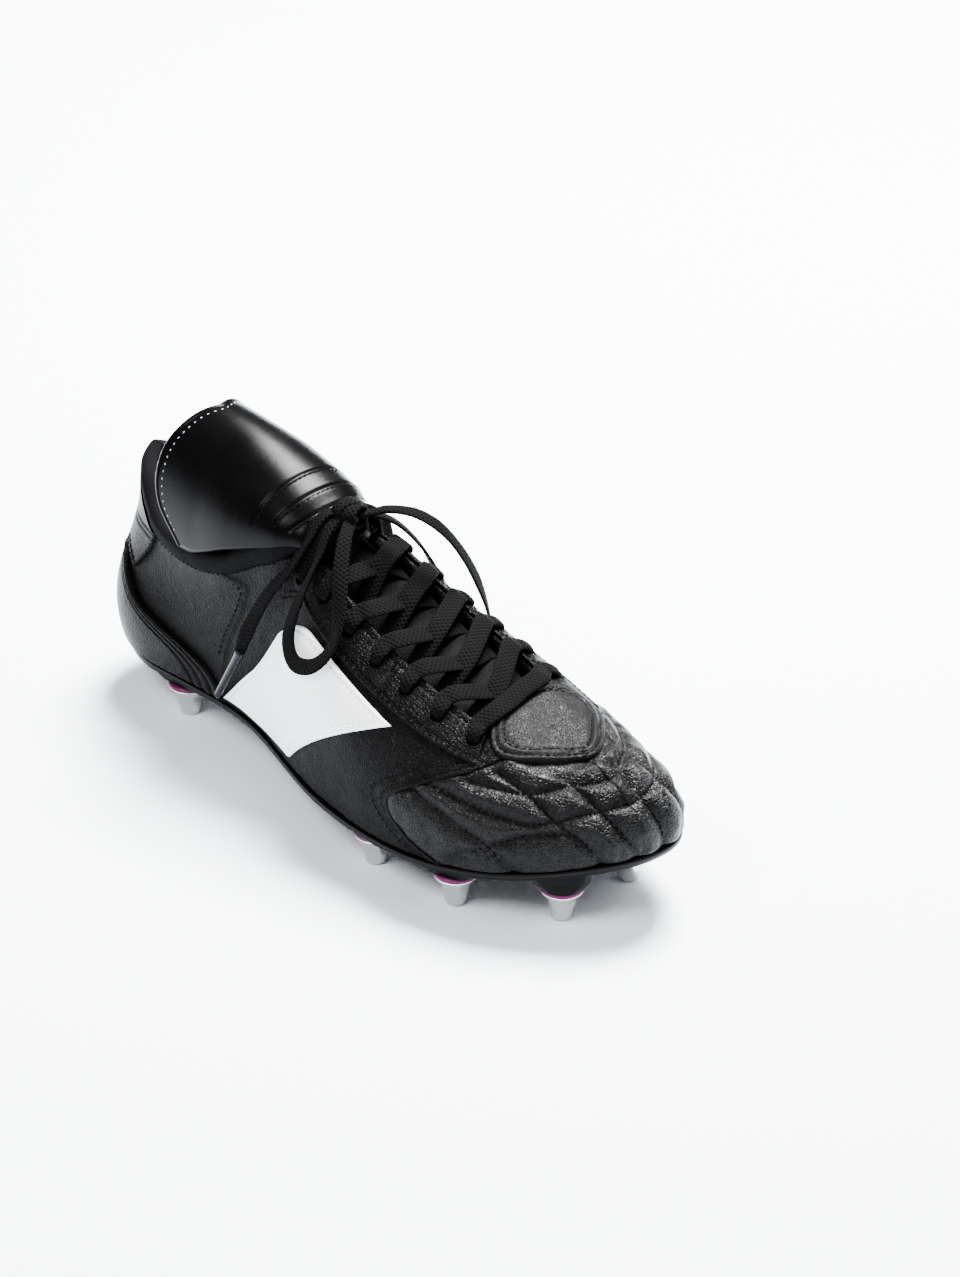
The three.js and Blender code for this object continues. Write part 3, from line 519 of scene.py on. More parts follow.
BLACK = (0.0005, 0.0005, 0.0006)
WORN = (0.0012, 0.0012, 0.0013)
vamp_leather = leather("vamp_leather", BLACK, WORN, 0.32, 1.1, 0.20, 0.2,
                       Specular_IOR_Level=0.09)
quarter_leather = leather("quarter_leather", BLACK, WORN, 0.35, 1.0, 0.17, 0.18,
                          Specular_IOR_Level=0.035)
patch_leather = leather("patch_leather", (0.0015, 0.0015, 0.0017), (0.003, 0.003, 0.0033), 0.42,
                        0.8, 0.2, 0.1, Specular_IOR_Level=0.08)
gloss_leather = leather("gloss_leather", (0.0006, 0.0006, 0.0007), (0.0011, 0.0011, 0.0012), 0.24,
                        0.6, 0.012, 0.03, Specular_IOR_Level=0.04)
throat_leather = leather("throat_leather", BLACK, WORN, 0.6, 0.9, 0.1, 0.2,
                         Specular_IOR_Level=0.02)
white_leather = leather("white_leather", (0.93, 0.935, 0.95), (0.89, 0.895, 0.91), 0.42, 0.9, 0.05,
                        0.10)
CLOTH_GLOSS = 0.03
lining_mesh = fabric("lining_mesh", (0.0010, 0.0010, 0.0012), (0.004, 0.004, 0.0045), 1.1, 0.3,
                     Specular_IOR_Level=CLOTH_GLOSS)
collar_cloth = fabric("collar_cloth", (0.0010, 0.0010, 0.0012), (0.0026, 0.0026, 0.003), 0.7, 0.18,
                      Specular_IOR_Level=CLOTH_GLOSS)
insole_cloth = fabric("insole_cloth", (0.004, 0.004, 0.0045), (0.016, 0.016, 0.018), 0.9, 0.15,
                      Specular_IOR_Level=CLOTH_GLOSS)
fibre_board = fabric("fibre_board", (0.16, 0.14, 0.12), (0.28, 0.25, 0.21), 0.8, 0.05)
# Lace braid tones: the near-black first tone is painted shade in the gaps of the braid, and the
# second tone lies on its raised threads.
lace_braid = woven("lace_braid", (0.0002, 0.0002, 0.0002), (0.0022, 0.0022, 0.0024), 1.9)
plate_nylon = moulded("plate_nylon", (0.0010, 0.0010, 0.0012), 0.34, 0.35, 0.05,
                      Specular_IOR_Level=0.06)
seat_nylon = moulded("seat_nylon", (0.075, 0.002, 0.042), 0.36, 0.4, 0.03,
                     Specular_IOR_Level=0.2)
stud_metal = turned_metal("stud_metal", (0.52, 0.52, 0.52), 0.16, 0.45)
post_steel = turned_metal("post_steel", (0.42, 0.43, 0.45), 0.34, 1.0)
black_thread = fabric("black_thread", (0.001, 0.001, 0.0012), (0.0016, 0.0016, 0.0018), 0.3, 0.1,
                      Specular_IOR_Level=CLOTH_GLOSS)
pale_thread = fabric("pale_thread", (0.34, 0.34, 0.36), (0.5, 0.5, 0.52), 0.3, 0.1)
aglet_film = moulded("aglet_film", (0.010, 0.010, 0.012), 0.14, 0.8, 0.05,
                     Specular_IOR_Level=0.1)


# ------------------------------------------------------------------ mesh helpers
def piece(name, points, faces, finish, body="upper", slot="black_leather", uv=None):
    """A smooth-shaded mesh from millimetre points, riding on a body."""
    mesh = bpy.data.meshes.new(name)
    mesh.from_pydata(place(points).tolist(), [], faces)
    if uv is not None:
        layer = mesh.uv_layers.new(name="UVMap")
        corners = np.empty(len(mesh.loops), int)
        mesh.loops.foreach_get("vertex_index", corners)
        layer.data.foreach_set("uv", np.asarray(uv, float)[corners].ravel())
    mesh.shade_smooth()
    mesh.materials.append(finish)
    made = bpy.data.objects.new(name, mesh)
    bpy.context.scene.collection.objects.link(made)
    if body:
        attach(made, body)
    return made


def grid_faces(columns, rows, ring=False, start=0):
    """Quads of a grid whose points run row-major: index = i * rows + j."""
    last = columns if ring else columns - 1
    i, j = np.meshgrid(np.arange(last), np.arange(rows - 1), indexing="ij")
    near = i * rows + j
    far = ((i + 1) % columns) * rows + j
    quads = np.stack([near, far, far + 1, near + 1], -1).reshape(-1, 4) + start
    return quads.tolist()


def capped_ring(first, sides, turned):
    """The polygon that closes a ring of points."""
    order = range(first, first + sides)
    return tuple(reversed(order)) if turned else tuple(order)


def round_band(rings, sides, start=0):
    """Quads round a tube whose points run ring by ring."""
    faces = []
    for i in range(rings - 1):
        for k in range(sides):
            n = (k + 1) % sides
            near, far = start + i * sides, start + (i + 1) * sides
            faces.append((near + k, near + n, far + n, far + k))
    return faces


def ladder(count, rim=0.02):
    """Parameters from 0 to 1, close together at both ends so that an edge can roll over."""
    ends = rim * np.array([0, 0.12, 0.3, 0.6])
    return np.concatenate([ends, np.linspace(rim, 1 - rim, count), 1 - ends[::-1]])


def border(points):
    """Distance in mm of each point of a grid from its four borders: u0, u1, v0, v1."""
    def run(axis):
        gaps = np.linalg.norm(np.diff(points, axis=axis), axis=2)
        pad = np.zeros_like(np.take(gaps, [0], axis=axis))
        reach = np.cumsum(np.concatenate([pad, gaps], axis=axis), axis=axis)
        return reach, np.take(reach, [-1], axis=axis) - reach
    return (*run(0), *run(1))


def rolled(distance, radius):
    """0 on an edge, 1 once past the rounded edge of a panel."""
    return np.sqrt(np.clip(1 - (1 - np.clip(distance / radius, 0, 1))**2, 0, 1))


def groove(distance, width):
    return np.exp(-(distance / width)**2)


def panel(name, us, vs, rib, shape, finish, **options):
    """A leather panel on the upper.  rib(u, v) gives angle and share, and shape(points, borders,
    angle, share) gives the height of its face over the upper in mm."""
    u, v = np.meshgrid(us, vs, indexing="ij")
    angle, share = rib(u, v)
    base = face(angle, share)
    facing = normal(angle, share)
    offset = shape(base, border(base), angle, share)
    points = base + facing * offset[..., None]
    return piece(name, points.reshape(-1, 3), grid_faces(len(us), len(vs)), finish, **options)


def tube(name, path, radius, finish, sides=10, **options):
    """Round bead along a path of millimetre points; radius may vary along it."""
    path = np.asarray(path, float)
    tangent = unit(np.gradient(path, axis=0))
    side = unit(np.cross(tangent, [0.13, 0.21, 1.0]))
    up = np.cross(side, tangent)
    turn = np.linspace(0, 2 * math.pi, sides, endpoint=False)
    radius = np.broadcast_to(radius, (len(path),))[:, None, None]
    ring = path[:, None] + radius * (np.cos(turn)[None, :, None] * side[:, None]
                                     + np.sin(turn)[None, :, None] * up[:, None])
    points = np.concatenate([ring.reshape(-1, 3), path[:1], path[-1:]])
    faces = round_band(len(path), sides)
    head = len(points) - 2
    tail = (len(path) - 1) * sides
    for k in range(sides):
        n = (k + 1) % sides
        faces.append((head, n, k))
        faces.append((head + 1, tail + k, tail + n))
    return piece(name, points, faces, finish, **options)


STITCH_LENGTH = 2.3
STITCH_PITCH = 3.1
STITCH_RADIUS = 0.3


def stitch_row(name, rows, thread=None, body="upper", slot="black_leather", length=STITCH_LENGTH,
               pitch=STITCH_PITCH, radius=STITCH_RADIUS):
    """Sewn stitches along rows; each row is a pair of points and outward normals."""
    levels = [(-0.5, 0.35), (-0.32, 0.9), (0.0, 1.0), (0.32, 0.9), (0.5, 0.35)]
    sides = 5
    points = []
    faces = []
    for line, facing in rows:
        count = max(int(length_of(line) / pitch), 1)
        at = resample(np.hstack([line, facing]), 2 * count + 1)
        for i in range(count):
            middle = at[2 * i + 1, :3]
            up = unit(at[2 * i + 1, 3:])
            way = unit(at[2 * i + 2, :3] - at[2 * i, :3])
            side = np.cross(way, up)
            start = len(points)
            for reach, width in levels:
                dip = -radius * (1.2 * (2 * abs(reach))**2 - 0.25)
                for k in range(sides):
                    turn = 2 * math.pi * k / sides
                    points.append(middle + way * reach * length + up * dip
                                  + radius * width * (side * math.cos(turn) + up * math.sin(turn)))
            faces += round_band(len(levels), sides, start)
            faces.append(capped_ring(start, sides, True))
            faces.append(capped_ring(start + (len(levels) - 1) * sides, sides, False))
    return piece(name, np.array(points), faces, thread or black_thread, body=body, slot=slot)


def skin_row(angles, shares, offset):
    """A row on the upper for stitch_row, from rib angles and shares."""
    facing = normal(angles, shares)
    return face(angles, shares) + facing * offset, facing


# ------------------------------------------------------------------ forefoot
# Sewn lines of the forefoot, as (rib angle, share of the way up the rib).
QUILT_ARCS = [
    [(-46, 0.44), (-38, 0.46), (-31, 0.48), (-25, 0.53), (-18, 0.59), (-3, 0.64), (12, 0.70),
     (22, 0.66), (32, 0.58), (44, 0.48)],
    [(-56, 0.36), (-40, 0.33), (-32, 0.31), (-24, 0.33), (-18, 0.38), (-10, 0.41), (-1, 0.44),
     (12, 0.48), (20, 0.48), (30, 0.42), (40, 0.34)],
    [(-48, 0.03), (-40, 0.14), (-30, 0.24), (-21, 0.26)],
    [(46, 0.05), (38, 0.16), (29, 0.24), (20, 0.26)],
]
QUILT_RAYS = [
    [(-59, 0.30), (-51, 0.25), (-44, 0.19), (-40, 0.14), (-34, 0.01)],
    [(-40, 0.54), (-32, 0.48), (-24, 0.34), (-16, 0.18), (-12, 0.0)],
    [(-27, 0.69), (-17, 0.59), (-10, 0.41), (-5, 0.21), (-2, 0.03)],
    [(34, 0.69), (23, 0.66), (17, 0.49), (17, 0.14)],
    [(9, 0.76), (6, 0.62), (5, 0.45), (6, 0.22), (7, 0.03)],
    [(58, 0.30), (50, 0.25), (43, 0.19), (38, 0.12), (33, 0.01)],
    [(46, 0.56), (38, 0.46), (30, 0.33), (25, 0.18), (22, 0.0)],
]
QUILT_PUFF = 2.9
QUILT_WIDTH = 2.6
PLEAT_PITCH = 6.5                  # degrees between the pleats along the sole
PATCH_OUTLINE = [(207, -6), (213.5, -14.5), (222, -20.5), (231, -17.5), (239.5, -8), (245.5, 2),
                 (246.5, 9), (241, 17), (230, 25.5), (219, 28), (210.5, 22), (206.5, 9)]
PATCH_MIDDLE = np.array([227.0, 4.0])
PATCH_TOP = 2.5
PATCH_EDGE = -0.9
PATCH_SEAMS = (2.2, 5.4)           # insets of the two sewn lines round the patch
PATCH_POINTS = 160


def quilt_line(controls, count=70):
    line = spline(np.array(controls, float) * [1, 100], count) / [1, 100]
    return line[:, 0], np.clip(line[:, 1], 0, 1)


QUILT_LINES = [quilt_line(controls) for controls in QUILT_ARCS + QUILT_RAYS]


def quilting(points, angle, share):
    """Puffed cells between the sewn lines, with pleats drawn in along the sole."""
    sewn = np.concatenate([face(*line) for line in QUILT_LINES])
    flat = points.reshape(-1, 3)
    gap = np.concatenate([np.min(np.linalg.norm(part[:, None] - sewn, axis=-1), axis=1)
                          for part in np.array_split(flat, 60)]).reshape(share.shape)
    cell = 1 - np.exp(-(gap / QUILT_WIDTH)**1.15)
    from_patch = np.linalg.norm(points[..., :2] - PATCH_MIDDLE, axis=-1)
    level = step(from_patch, 25, 18)
    turns = angle / PLEAT_PITCH
    pleats = groove((turns - np.round(turns)) * 5.0, 0.9)
    pleats = pleats * step(share, 0.22, 0.08) * step(share, 0.0, 0.05)
    crumple = 0.3 * noise(points, 6) + 0.12 * noise(points, 2.4)
    puff = QUILT_PUFF * (0.62 + 0.38 * step(share, 0.0, 0.3)) * cell
    return mix(puff, 0.8, level) - 0.55 * pleats + crumple - 0.6


def build_vamp():
    def rib(u, v):
        return u * vamp_seam(v), v

    def shape(points, borders, angle, share):
        seam = np.minimum(borders[0], borders[1])
        foot = borders[2]
        puff = quilting(points, angle, share)
        return mix(-0.7, puff, step(seam, 0.5, 7)) - 1.1 * (1 - rolled(foot, 2.5))
    made = panel("vamp_quilted", np.linspace(-1, 1, 321), np.linspace(0, 1, 151), rib, shape,
                 vamp_leather)
    weld(made, 0.05)
    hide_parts("vamp")
    return made


def weld(made, gap_mm):
    """Join points that lie on each other, such as the two sides of a seam on the ridge."""
    work = bmesh.new()
    work.from_mesh(made.data)
    bmesh.ops.remove_doubles(work, verts=work.verts, dist=gap_mm / 1000)
    work.to_mesh(made.data)
    work.free()
    made.data.shade_smooth()


def quilt_rows():
    """Rows of stitches down in the creases of the quilting."""
    rows = []
    for angles, shares in QUILT_LINES:
        keep = shares > 0.09
        facing = normal(angles[keep], shares[keep])
        rows.append((face(angles[keep], shares[keep]) - 0.35 * facing, facing))
    stitch_row("vamp_stitches", rows, length=1.9, pitch=2.7, radius=0.26)


def patch_ring(count):
    """The outline as one closed curve of evenly spaced points, from its first corner."""
    closed = np.array(PATCH_OUTLINE[-3:] + PATCH_OUTLINE + PATCH_OUTLINE[:4], float)
    whole = spline(closed, 60 * len(closed))
    size = len(whole)
    first = np.argmin(np.linalg.norm(whole[:size // 2] - PATCH_OUTLINE[0], axis=1))
    last = size // 2 + np.argmin(np.linalg.norm(whole[size // 2:] - PATCH_OUTLINE[0], axis=1))
    return resample(whole[first:last + 1], count + 1)[:-1]


def crowned(points):
    """The same places in plan, lifted to one smooth crown with no crease along the ridge."""
    x, y = (points[..., 0] - PATCH_MIDDLE[0]) / 20, (points[..., 1] - PATCH_MIDDLE[1]) / 20
    terms = np.stack([x**i * y**j for i in range(4) for j in range(5 - i)], -1)
    flat = terms.reshape(-1, terms.shape[-1])
    weights = np.linalg.lstsq(flat, points[..., 2].ravel(), rcond=None)[0]
    return np.stack([points[..., 0], points[..., 1], terms @ weights], -1)


def build_toe_patch():
    ring = patch_ring(PATCH_POINTS)
    shares = np.concatenate([[1, 0.992, 0.98, 0.965, 0.95], np.linspace(0.935, 0.02, 52)])
    plan = PATCH_MIDDLE + shares[None, :, None] * (ring[:, None] - PATCH_MIDDLE)
    base, _ = over_ridge(plan[..., 0], plan[..., 1])
    base = crowned(base)
    facing = unit(np.cross(np.gradient(base, axis=1), np.gradient(base, axis=0)))
    facing *= np.where(facing[..., 2:] < 0, -1, 1)
    size = np.linalg.norm(ring - PATCH_MIDDLE, axis=1)[:, None]
    inset = (1 - shares[None]) * size
    top = PATCH_EDGE + (PATCH_TOP - PATCH_EDGE) * rolled(inset, 1.3)
    top = top - 0.55 * groove(inset - PATCH_SEAMS[0], 0.7)
    top = top - 0.75 * groove(inset - PATCH_SEAMS[1], 0.75)
    top = top + 0.25 * groove(inset - 3.8, 0.9) - 0.35 * step(inset, 5.4, 6.6)
    top = top + 0.5 * step(inset, 6.5, 15) + 0.12 * noise(base, 5)
    points = base + facing * top[..., None]
    made = piece("toe_patch_sewn", points.reshape(-1, 3),
                 grid_faces(PATCH_POINTS, len(shares), True), patch_leather)
    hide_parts("toe_patch")
    rows = []
    for depth in PATCH_SEAMS:
        loop = PATCH_MIDDLE + (ring - PATCH_MIDDLE) * (1 - depth / size)
        loop = np.vstack([loop, loop[:1]])
        rows.append(over_ridge(loop[:, 0], loop[:, 1], 0 * loop[:, 0] + PATCH_TOP - 0.35))
    stitch_row("toe_patch_stitches", rows, length=1.9, pitch=2.6, radius=0.26)


# ------------------------------------------------------------------ quarters
QUARTER_OVERLAP = 2.4              # degrees by which a quarter covers the edge of the vamp
QUARTER_SEAMS = (2.2, 4.6)         # degrees from its front edge to its two sewn lines
REAR_SEAM = smooth([(0.0, 119), (0.46, 117), (0.8, 113.5), (0.87, 116), (0.95, 122)])


def build_quarter(side):
    label = SIDE_NAME[side]

    def rib(u, v):
        size = mix(vamp_seam(v * THROAT_EDGE) - QUARTER_OVERLAP, 180.4, u)
        return side * size, v * quarter_top(size)

    def shape(points, borders, angle, share):
        front, _, foot, top = borders
        size = np.abs(angle)
        lip = 1.15 * rolled(front, 1.1) * step(front, 9, 3)
        seam = 0.5 * step((size - REAR_SEAM(share)) * 0.8, -0.35, 0.35) * step(size, 140, 128)
        body = lip + seam - 0.35 * groove(front - 3.4, 0.7)
        flex = 0.55 * noise(points * [1, 1, 0.6], 15) * step(size, 150, 110)
        fine = 0.12 * noise(points, 4)
        sole = 1.2 * (1 - rolled(foot, 2.6)) * step(front, 0, 6)
        return body + flex * rolled(top, 8) + fine - sole - 1.3 * (1 - rolled(top, 1.3))
    us = np.linspace(0, 1, 300)**1.15
    us = np.concatenate([[0, 0.0009, 0.002, 0.0034, 0.0052], us[us > 0.007]])
    made = panel(f"quarter_{label}_leather", us, ladder(96, 0.014), rib, shape, quarter_leather)
    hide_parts(f"quarter_{label}")
    rows = []
    shares = np.linspace(0.02, THROAT_EDGE - 0.03, 120)
    for inset in QUARTER_SEAMS:
        rows.append(skin_row(side * (vamp_seam(shares) - QUARTER_OVERLAP + inset), shares, 0.85))
    shares = np.linspace(0.32, 0.93, 90)
    rows.append(skin_row(side * (REAR_SEAM(shares) + 1.8), shares, 0.55))
    stitch_row(f"quarter_{label}_stitches", rows, length=1.9, pitch=2.6, radius=0.24)


EYESTAY_START = 45.0
EYESTAY_WIDTH = 0.21
EYESTAY_INSET = 0.008


def eyestay_rib(side):
    def rib(u, v):
        size = mix(EYESTAY_START, COLLAR_START, u)
        top = quarter_top(size) - EYESTAY_INSET
        return side * size, mix(top - EYESTAY_WIDTH, top, v)
    return rib


def build_eyestay(side):
    label = SIDE_NAME[side]
    holes = EYELETS[side]
    centres = face(holes, eyelet_height(holes))
    butt = abs(holes[2] + holes[3]) / 2

    def shape(points, borders, angle, share):
        edge = np.minimum(np.minimum(borders[0], borders[1]), borders[2])
        height = 0.25 + 1.45 * rolled(edge, 1.1) * rolled(borders[3] + 0.4, 1.2)
        height = height - 0.4 * groove(borders[3] - 2.6, 0.8) - 0.3 * groove(borders[2] - 2.4, 0.8)
        height = height - 0.7 * groove((np.abs(angle) - butt) * 0.9, 0.5)
        away = np.min(np.linalg.norm(points[..., None, :] - centres, axis=-1), axis=-1)
        punch = step(away, EYELET_RADIUS + 0.5, EYELET_RADIUS - 0.5)
        rim = 0.3 * groove(away - EYELET_RADIUS - 0.9, 0.7)
        return height + rim - 3.2 * punch + 0.14 * noise(points, 5)
    made = panel(f"eyestay_{label}_leather", ladder(330, 0.01), ladder(44, 0.06), eyestay_rib(side),
                 shape, quarter_leather)
    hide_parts(f"eyestay_{label}")
    sizes = np.linspace(47, 102, 160)
    top = quarter_top(sizes) - EYESTAY_INSET
    rows = [skin_row(side * sizes, top - drop, 1.62) for drop in (0.032, 0.062, 0.185)]
    stitch_row(f"eyestay_{label}_stitches", rows, length=2.0, pitch=2.8, radius=0.27)


WHITE_FOOT = (92.0, 119.0)
WHITE_HEAD = (66.0, 101.0)
WHITE_BASE = 0.04
WHITE_TOP = 0.47


def white_rib(side):
    def rib(u, v):
        foot = mix(WHITE_FOOT[0], WHITE_FOOT[1], u)
        head = mix(WHITE_HEAD[0], WHITE_HEAD[1], u)
        crown = 0.02 * np.sin(np.pi * u)
        return side * mix(foot, head, v), mix(WHITE_BASE, WHITE_TOP + crown, v)
    return rib


def build_side_panel(side):
    label = SIDE_NAME[side]
    rib = white_rib(side)

    def shape(points, borders, angle, share):
        edge = np.minimum.reduce(borders)
        return (0.15 + 1.05 * rolled(edge, 0.9) - 0.3 * groove(edge - 2.6, 0.7)
                + 0.1 * noise(points, 9))
    made = panel(f"side_panel_{label}_leather", ladder(110, 0.03), ladder(90, 0.03), rib, shape,
                 white_leather, slot="white_leather")
    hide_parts(f"side_panel_{label}")
    near, far = 0.06, 0.94
    rows = []
    for us, vs in (((near, far), (far, far)), ((far, far), (far, near)),
                   ((near, near), (near, far))):
        u = np.linspace(*us, 60)
        v = np.linspace(*vs, 60)
        angle, share = rib(u, v)
        rows.append(skin_row(angle, share, 1.05))
    stitch_row(f"side_panel_{label}_stitches", rows, pale_thread, slot="white_leather", length=1.9,
               pitch=2.8, radius=0.24)


def heel_band(reach, base, top):
    def rib(u, v):
        angle = 180 + (2 * u - 1) * reach(v)
        return np.where(angle > 180, angle - 360, angle), mix(base, top, v)
    return rib


def build_heel_overlay():
    def reach(v):
        return mix(61.0, 15.0, v**2.2)
    rib = heel_band(reach, 0.02, 0.53)

    def shape(points, borders, angle, share):
        side = np.minimum(borders[0], borders[1])
        edge = np.minimum(side, borders[3])
        lines = sum(groove(side - at, 0.75) for at in (6.0, 11.5, 17.0))
        bead = 0.5 * groove(side - 1.9, 1.2)
        foot = 1 - rolled(borders[2], 2.0)
        return 0.3 + 1.8 * rolled(edge, 1.2) + bead - 0.95 * lines - foot + 0.05 * noise(points, 7)
    made = panel("heel_overlay_leather", ladder(260, 0.012), ladder(90, 0.02), rib, shape,
                 quarter_leather)
    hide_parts("heel_overlay")


def build_heel_tab():
    def reach(v):
        return mix(26.0, 32.0, v)
    rib = heel_band(reach, 0.56, 0.93)

    def shape(points, borders, angle, share):
        edge = np.minimum(np.minimum(borders[0], borders[1]), borders[2])
        creases = groove(points[..., 2] - 69.5, 0.6) + groove(points[..., 2] - 71.8, 0.6)
        creases = creases * step(np.abs(points[..., 1]), 8, 15)
        return (0.25 + 1.5 * rolled(edge, 1.1) - 0.5 * creases - 0.35 * groove(borders[2] - 2.4, 0.8)
                + 0.25 * noise(points, 11))
    made = panel("heel_tab_leather", ladder(110, 0.02), ladder(60, 0.03), rib, shape,
                 quarter_leather)
    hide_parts("heel_tab")
    rows = []
    angles = np.linspace(-25, 25, 80)
    turned = np.where(angles > 0, 180 - angles, -180 - angles)
    for level in (0.575, 0.598):
        rows.append(skin_row(turned, np.full(80, level), 1.72))
    stitch_row("heel_tab_stitches", rows, length=2.0, pitch=2.8, radius=0.27)


# ------------------------------------------------------------------ collar and inside
def round_heel(start, count):
    angle = np.linspace(start, 360 - start, count)
    return np.where(angle > 180, angle - 360, angle)


def build_collar():
    """Padded collar: from its seam on the quarter over the rim and down the inside."""
    angle = round_heel(95.0, 260)
    rim = face(angle, 1.0)
    out = normal(angle, 0.96)
    up = unit(face(angle, 1.0) - face(angle, 0.94))
    rise = step(np.abs(angle), 95, 106)[:, None]

    def on_rib(share, offset):
        return face(angle, share) + normal(angle, share) * offset

    def on_rim(outward, upward):
        return rim + out * outward + up * upward
    profile = [on_rib(0.925, 0.0), on_rib(0.94, 1.0), on_rib(0.965, 1.5), on_rim(1.5, 0.2 * rise),
               on_rim(0.6, 1.9 * rise), on_rim(-1.4, 2.9 * rise), on_rim(-3.6, 2.8 * rise),
               on_rim(-5.6, 1.5 * rise), on_rib(0.95, -7.0), on_rib(0.88, -8.2), on_rib(0.8, -8.6),
               on_rib(0.7, -7.4), on_rib(0.6, -5.9), on_rib(0.5, -4.9)]
    rings = np.stack(profile, 1)
    rows = 60
    dense = np.stack([spline(ring, rows) for ring in rings])
    facing = unit(np.cross(np.gradient(dense, axis=0), np.gradient(dense, axis=1)))
    inside = step(np.arange(rows) / rows, 0.3, 0.55)[None, :]
    folds = 0.28 * noise(dense, 6) + 0.9 * inside * noise(dense * [1, 1, 0.5], 10)
    dense = dense + facing * folds[..., None]
    made = piece("collar_padded", dense.reshape(-1, 3), grid_faces(len(angle), rows), collar_cloth,
                 slot="lining_mesh")
    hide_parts("collar_roll")
    seam = on_rib(0.928, 0.75)
    keep = np.abs(angle) > 99
    stitch_row("collar_stitches", [(seam[keep], out[keep])], length=1.9, pitch=2.7, radius=0.24)


def build_lining():
    """Lining of the quarters, folded over the edge of the throat and down to the insole."""
    angle = round_heel(37.3, 420)
    top = quarter_top(angle)
    levels = [(1.0, -0.9), (1.004, -1.9), (1.004, -3.2), (0.995, -4.3), (0.98, -4.7), (0.9, -4.7),
              (0.7, -4.7), (0.5, -4.7), (0.3, -4.7), (0.15, -4.7), (0.06, -4.7)]
    rings = np.stack([skin(angle, top * share, np.full_like(angle, offset))
                      for share, offset in levels], 1)
    dense = np.stack([spline(ring, 44) for ring in rings])
    dense = dense + 0.15 * noise(dense, 8)[..., None] * unit(dense - dense.mean(0))
    made = piece("quarter_lining_mesh", dense.reshape(-1, 3), grid_faces(len(angle), 44),
                 lining_mesh, slot="lining_mesh")
    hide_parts("quarter_lining")

    def rib(u, v):
        return mix(-36.0, 36.0, u), v

    def shape(points, borders, angle, share):
        return -4.0 + 0.1 * noise(points, 7)
    made = panel("vamp_lining_mesh", np.linspace(0, 1, 90), np.linspace(0, 1, 60), rib, shape,
                 lining_mesh, slot="lining_mesh")
    weld(made, 0.05)
    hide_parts("vamp_lining")


def foot_reach(angle):
    return rib_reach(angle) - 1 - 2 * step(np.abs(angle), 120, 165)


SOLE_FIELD = 7.0                   # inset at which the rings turn from the edge to the spine


def sole_rings(profile, count):
    """Rings of the sole.  Each entry is ("edge", inset from the foot of the upper, height over the
    feather line) or ("field", share of the way on to the spine, height)."""
    angle = np.linspace(-180, 180, count, endpoint=False)
    x, y, out = rib_base(angle)
    edge = foot_reach(angle)
    rings = []
    for kind, where, height in profile:
        distance = edge - where if kind == "edge" else (edge - SOLE_FIELD) * (1 - where)
        px = x + out[:, 0] * distance
        py = y + out[:, 1] * distance
        rings.append(np.stack([px, py, feather_line(px) + height], 1))
    return np.stack(rings, 1)


def build_insole():
    top = 5.9
    count = 260
    profile = [("edge", 5.9, 2.0), ("edge", 5.6, 3.4), ("edge", 5.5, 5.6), ("edge", 5.7, 7.2),
               ("edge", 6.2, 7.8), ("edge", 6.8, 7.6)]
    profile += [("field", where, top + 1.8 * (1 - where * 5)**2 if where < 0.2 else top)
                for where in np.linspace(0.0, 1, 26)]
    rings = sole_rings(profile, count)
    rings[..., 2] += 0.12 * noise(rings, 9)
    made = piece("insole_cover", rings.reshape(-1, 3), grid_faces(count, len(profile), True),
                 insole_cloth, slot="insole_foam")
    weld(made, 0.02)
    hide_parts("insole")


# ------------------------------------------------------------------ outsole and studs
PLATE_TOP = -0.6
PLATE_BOTTOM = -3.8
BOSS_LEVEL = 15.0
BOSS_RADIUS = 9.4
STUD_SPOTS = np.array([(along(share), y) for share, y in STUDS.values()])


def build_sole_plate():
    count = 480
    profile = [("edge", 4.0, PLATE_TOP), ("edge", 0.4, PLATE_TOP), ("edge", -0.2, PLATE_TOP + 0.05),
               ("edge", -0.5, -0.9), ("edge", -0.65, -1.6), ("edge", -0.5, -2.5),
               ("edge", -0.1, -3.3), ("edge", 0.3, PLATE_BOTTOM), ("edge", 2.0, PLATE_BOTTOM),
               ("edge", 3.2, PLATE_BOTTOM + 0.5), ("edge", 4.4, PLATE_BOTTOM + 0.5)]
    profile += [("field", where, PLATE_BOTTOM + 0.5) for where in np.linspace(0, 1, 60)]
    rings = sole_rings(profile, count)
    x, y, z = rings[..., 0], rings[..., 1], rings[..., 2]
    under = np.arange(len(profile)) > 6
    away = np.min(np.hypot(x[..., None] - STUD_SPOTS[:, 0], y[..., None] - STUD_SPOTS[:, 1]), -1)
    across = y - centre_line(x)
    ribs = sum(groove(across - at, 1.5) for at in (-9.0, 9.0)) * step(x, 58, 74) * step(x, 208, 192)
    fans = groove((x + 0.02 * across**2) / 9.0 % 1 * 9.0 - 4.5, 1.2) * step(x, 196, 204)
    fans = fans * step(np.abs(across), 34, 28) * step(x, 262, 256)
    arch = groove((x - 0.35 * np.abs(across)) / 12.0 % 1 * 12.0 - 6.0, 1.3) * step(x, 92, 98)
    arch = arch * step(x, 166, 160) * step(np.abs(across), 8, 7)
    z_under = z - 1.3 * ribs - 0.7 * fans - 0.6 * arch
    boss = step(away, BOSS_RADIUS + 3.6, BOSS_RADIUS)
    rings[..., 2] = np.where(under, mix(z_under, BOSS_LEVEL, boss), z)
    made = piece("sole_plate_moulded", rings.reshape(-1, 3), grid_faces(count, len(profile), True),
                 plate_nylon, slot="plate_plastic")
    made.data.flip_normals()
    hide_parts("sole_plate")


